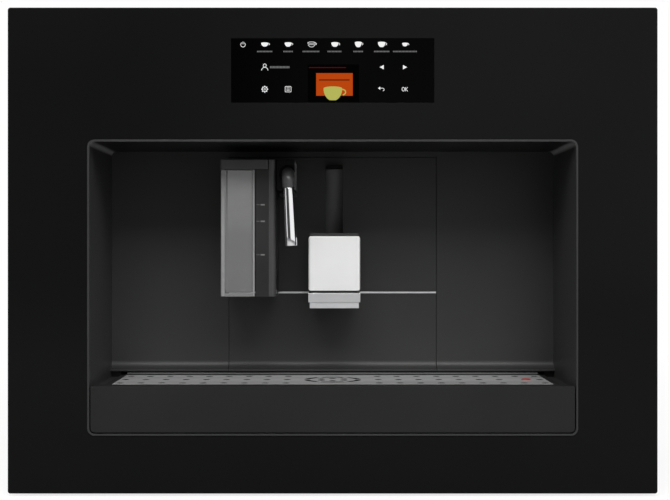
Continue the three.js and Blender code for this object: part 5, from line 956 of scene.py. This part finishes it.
# %% [markdown]
# ## Screws
# The covers are held by pan-head screws with a cross recess. A square grid is pressed into a disc
# and raised to a dome; two crossing grooves are sunk into it.

# %%
def screw_surface(radius=3.2, rise=1.4, count=15):
    """Disc from a square: (u, v) goes to (u sqrt(1 - v v / 2), v sqrt(1 - u u / 2)). Height is a
    dome, rise (1 - 0.55 d d) at distance d from the middle, less the depth of the cross."""
    u, v = np.meshgrid(np.linspace(-1, 1, count), np.linspace(-1, 1, count))
    x, y = u * np.sqrt(1 - v * v / 2), v * np.sqrt(1 - u * u / 2)
    d = np.hypot(x, y)
    cross = ((np.abs(x) < 0.16) & (np.abs(y) < 0.55)) | ((np.abs(y) < 0.16) & (np.abs(x) < 0.55))
    height = rise * (1 - 0.55 * d * d) * (d < 0.999) - 0.8 * cross
    return np.stack([x * radius, y * radius, height], axis=-1)


def screws(name, places, normal, body, material):
    """One head at each place, its axis along the normal."""
    head = screw_surface()
    n = np.array(normal, dtype=float)
    side = np.array([0, 0, 1.0]) if abs(n[2]) < 0.5 else np.array([1.0, 0, 0])
    across = np.cross(side, n)
    turned = head[..., :1] * across + head[..., 1:2] * side + head[..., 2:] * n
    points = turned[None] + np.array(places, dtype=float)[:, None, None, :]
    count = len(head)
    faces = [face for i in range(len(places))
             for face in grid_faces(count, count, first=i * count * count)]
    make_piece(name, points, faces, body, material)


zinc_screw = finished(
    "blackened_zinc_screw", 0.35, ("#444447", "#343436"), (5, 0.8, 0.01, 0.1), metallic=0.8)
rear = edges_mm("rear_panel")[1][1]
BODY_SIDE, COVER_TOP, FRAME_FLOOR = 277.0, 441.5, 2.0
rear_places = [(x, rear, z) for z in (80, 250, 428) for x in (-262, 262)]
rear_places += [(x, rear, z) for z in (34, 428) for x in (-120, 120)]
right_places = [(BODY_SIDE, y, z) for y in (36, 440) for z in (78, 250, 425)]
left_places = [(-BODY_SIDE, y, z) for _, y, z in right_places]
top_places = [(x, y, COVER_TOP) for x in (-255, 255) for y in (40, 230, 440)]
floor_places = [(x, y, FRAME_FLOOR) for x in (-258.5, 258.5) for y in (48, 232, 416)]
for name, places, normal, body in (("rear_panel_screws", rear_places, (0, 1, 0), "machine"),
                                   ("right_panel_screws", right_places, (1, 0, 0), "machine"),
                                   ("left_panel_screws", left_places, (-1, 0, 0), "machine"),
                                   ("top_cover_screws", top_places, (0, 0, 1), "machine"),
                                   ("floor_screws", floor_places, (0, 0, 1), "base")):
    screws(name, places, normal, body, zinc_screw)

# %% [markdown]
# A thin aluminium plate is riveted low on the rear panel. It is left blank: a rounded rectangle
# with a rolled edge, drawn in from outline to outline.

# %%
foil = finished(
    "anodised_aluminium_plate", 0.42, ("#96989a", "#88898b"), (60, 0.8, 0.01, 0.1), metallic=0.7,
    stretch=(0.05, 1, 1))
levels = [(0, 0), (0, 0.5), (0.4, 0.8), (1.6, 0.8), (2.0, 0.6), (6.0, 0.6)]
blank = stacked_shell((70, 160, 84, 128, 3.0), levels, least=0.4)[..., [0, 2, 1]] + [0, rear, 0]
make_piece("rear_blank_plate", blank, capped(blank), "machine", foil)

# %% [markdown]
# ## Studio
# The machine is photographed square on, a good metre away, against white. The room is plain: an
# even soft light from all round, a large lamp high in front that reaches under the ceiling of the
# recess, two small ones that fill the side walls, one behind, and a floor. Camera, mirror and
# see-through rays find a white room; the rest of the light is kept at a level at which a colour
# shows about as it was written. A black flag stands to the left, out of the picture: it is what
# draws the dark line down the chrome of the spout. The floor is white paper, lit so that it keeps
# the machine's shadow close by and is plain white further off.

# %%
AMBIENT = 0.3
FLAG_MIDDLE, FLAG_HALF, FLAG_FADE, FLAG_LIGHT = np.radians(31), np.radians(26), np.radians(5), 0.06
SHADOW_ENDS = {"From Min": 0.55, "From Max": 1.5, "To Min": 0.78, "To Max": 1.0}
WHITE = (1, 1, 1, 1)

scene = bpy.context.scene
world = bpy.data.worlds.new("studio")
scene.world = world
world.use_nodes = True
tree = world.node_tree
room = tree.nodes["Background"]
path = add(tree, "ShaderNodeLightPath").outputs
seen = path["Is Camera Ray"]
for kind in ("Is Glossy Ray", "Is Transmission Ray"):
    seen = add(tree, MATH, {"operation": "MAXIMUM"}, {0: seen, 1: path[kind]}).outputs[0]
strength = add(tree, "ShaderNodeMapRange", {"To Min": AMBIENT, "To Max": 1.0}, {"Value": seen})
toward = add(tree, "ShaderNodeTexCoord").outputs["Generated"]
toward = add(tree, "ShaderNodeSeparateXYZ", links={0: toward}).outputs
front = add(tree, MATH, {"operation": "MULTIPLY", 1: -1.0}, {0: toward["Y"]}).outputs[0]
around = add(tree, MATH, {"operation": "ARCTAN2"}, {0: toward["X"], 1: front}).outputs[0]
off = add(tree, MATH, {"operation": "ADD", 1: FLAG_MIDDLE}, {0: around}).outputs[0]
off = add(tree, MATH, {"operation": "ABSOLUTE"}, {0: off}).outputs[0]
limits = {"From Min": FLAG_HALF, "From Max": FLAG_HALF + FLAG_FADE, "To Min": FLAG_LIGHT}
flag = add(tree, "ShaderNodeMapRange", limits, {"Value": off}).outputs[0]
for operation, other in (("MAXIMUM", path["Is Camera Ray"]), ("MULTIPLY", strength.outputs[0])):
    flag = add(tree, MATH, {"operation": operation}, {0: flag, 1: other}).outputs[0]
tree.links.new(room.inputs["Strength"], flag)
room.inputs["Color"].default_value = WHITE

floor_mesh = bpy.data.meshes.new("studio_floor")
floor_corners = [(x, y, -0.0005) for x, y in ((-6, -6), (6, -6), (6, 6), (-6, 6))]
floor_mesh.from_pydata(floor_corners, [], [(0, 1, 2, 3)])
floor = bpy.data.objects.new("studio_floor", floor_mesh)
scene.collection.objects.link(floor)
paper = finished("white_paper_floor", 0.8, ("#b7b7b7", "#b1b1b1"), (400, 5, 0.01, 0.1))
tree = paper.node_tree
seen = add(tree, "ShaderNodeLightPath").outputs["Is Camera Ray"]
glow = add(tree, "ShaderNodeEmission", {"Color": WHITE, "Strength": 1.0})
where = add(tree, "ShaderNodeTexCoord").outputs["Object"]
away = add(tree, "ShaderNodeVectorMath", {"operation": "LENGTH"}, {0: where}).outputs["Value"]
share = add(tree, "ShaderNodeMapRange", SHADOW_ENDS, {"Value": away}).outputs["Result"]
share = add(tree, MATH, {"operation": "MULTIPLY"}, {0: share, 1: seen}).outputs[0]
plain = tree.nodes["Principled BSDF"]
tint = add(tree, "ShaderNodeValToRGB", links={"Fac": seen})
for stop, swatch in zip(tint.color_ramp.elements, ("#a4a4a4", "#fafafa")):
    stop.color = linear(swatch)
tree.links.new(plain.inputs["Base Color"], tint.outputs[0])
mixed = {0: share, 1: plain.outputs[0], 2: glow.outputs[0]}
both = add(tree, "ShaderNodeMixShader", links=mixed)
tree.links.new(tree.nodes["Material Output"].inputs["Surface"], both.outputs[0])
floor_mesh.materials.append(paper)


def lamp(name, location, target, width, height, power):
    """A soft box that looks at a target. Sizes are in metres, power in watts."""
    light = bpy.data.lights.new(name, "AREA")
    light.shape, light.size, light.size_y, light.energy = "RECTANGLE", width, height, power
    thing = bpy.data.objects.new(name, light)
    scene.collection.objects.link(thing)
    thing.location = location
    away = np.array(location, dtype=float) - np.array(target, dtype=float)
    distance = np.linalg.norm(away)
    thing.rotation_euler = (np.arccos(away[2] / distance), 0, np.arctan2(away[0], -away[1]))
    return thing


lamp("soft_box_above", (0.1, -2.0, 2.0), (0, -0.1, 0.15), 2.2, 1.2, 80)
lamp("soft_box_left", (-1.5, -1.6, 1.15), (0, 0, 0.25), 0.9, 0.9, 12).visible_glossy = False
lamp("soft_box_right", (1.5, -1.6, 1.15), (0, 0, 0.25), 0.9, 0.9, 9).visible_glossy = False
lamp("soft_box_behind", (-0.6, 2.4, 2.2), (0, 0, 0.3), 1.8, 1.2, 30)

camera_data = bpy.data.cameras.new("camera")
camera = bpy.data.objects.new("camera", camera_data)
scene.collection.objects.link(camera)
scene.camera = camera
DISTANCE, EYE_HEIGHT, MM_PER_PIXEL, PIXELS, SENSOR = 1.25, 0.2245, 0.9152, 670, 36
camera.location = (0, FRONT - DISTANCE, EYE_HEIGHT)
camera.rotation_euler = (np.pi / 2, 0, 0)
camera_data.sensor_width = SENSOR
camera_data.lens = SENSOR * DISTANCE * 1000 / (PIXELS * MM_PER_PIXEL)
camera_data.shift_x = 2.35 / PIXELS
camera_data.shift_y = 0.6 / PIXELS

scene.view_settings.view_transform = "Standard"
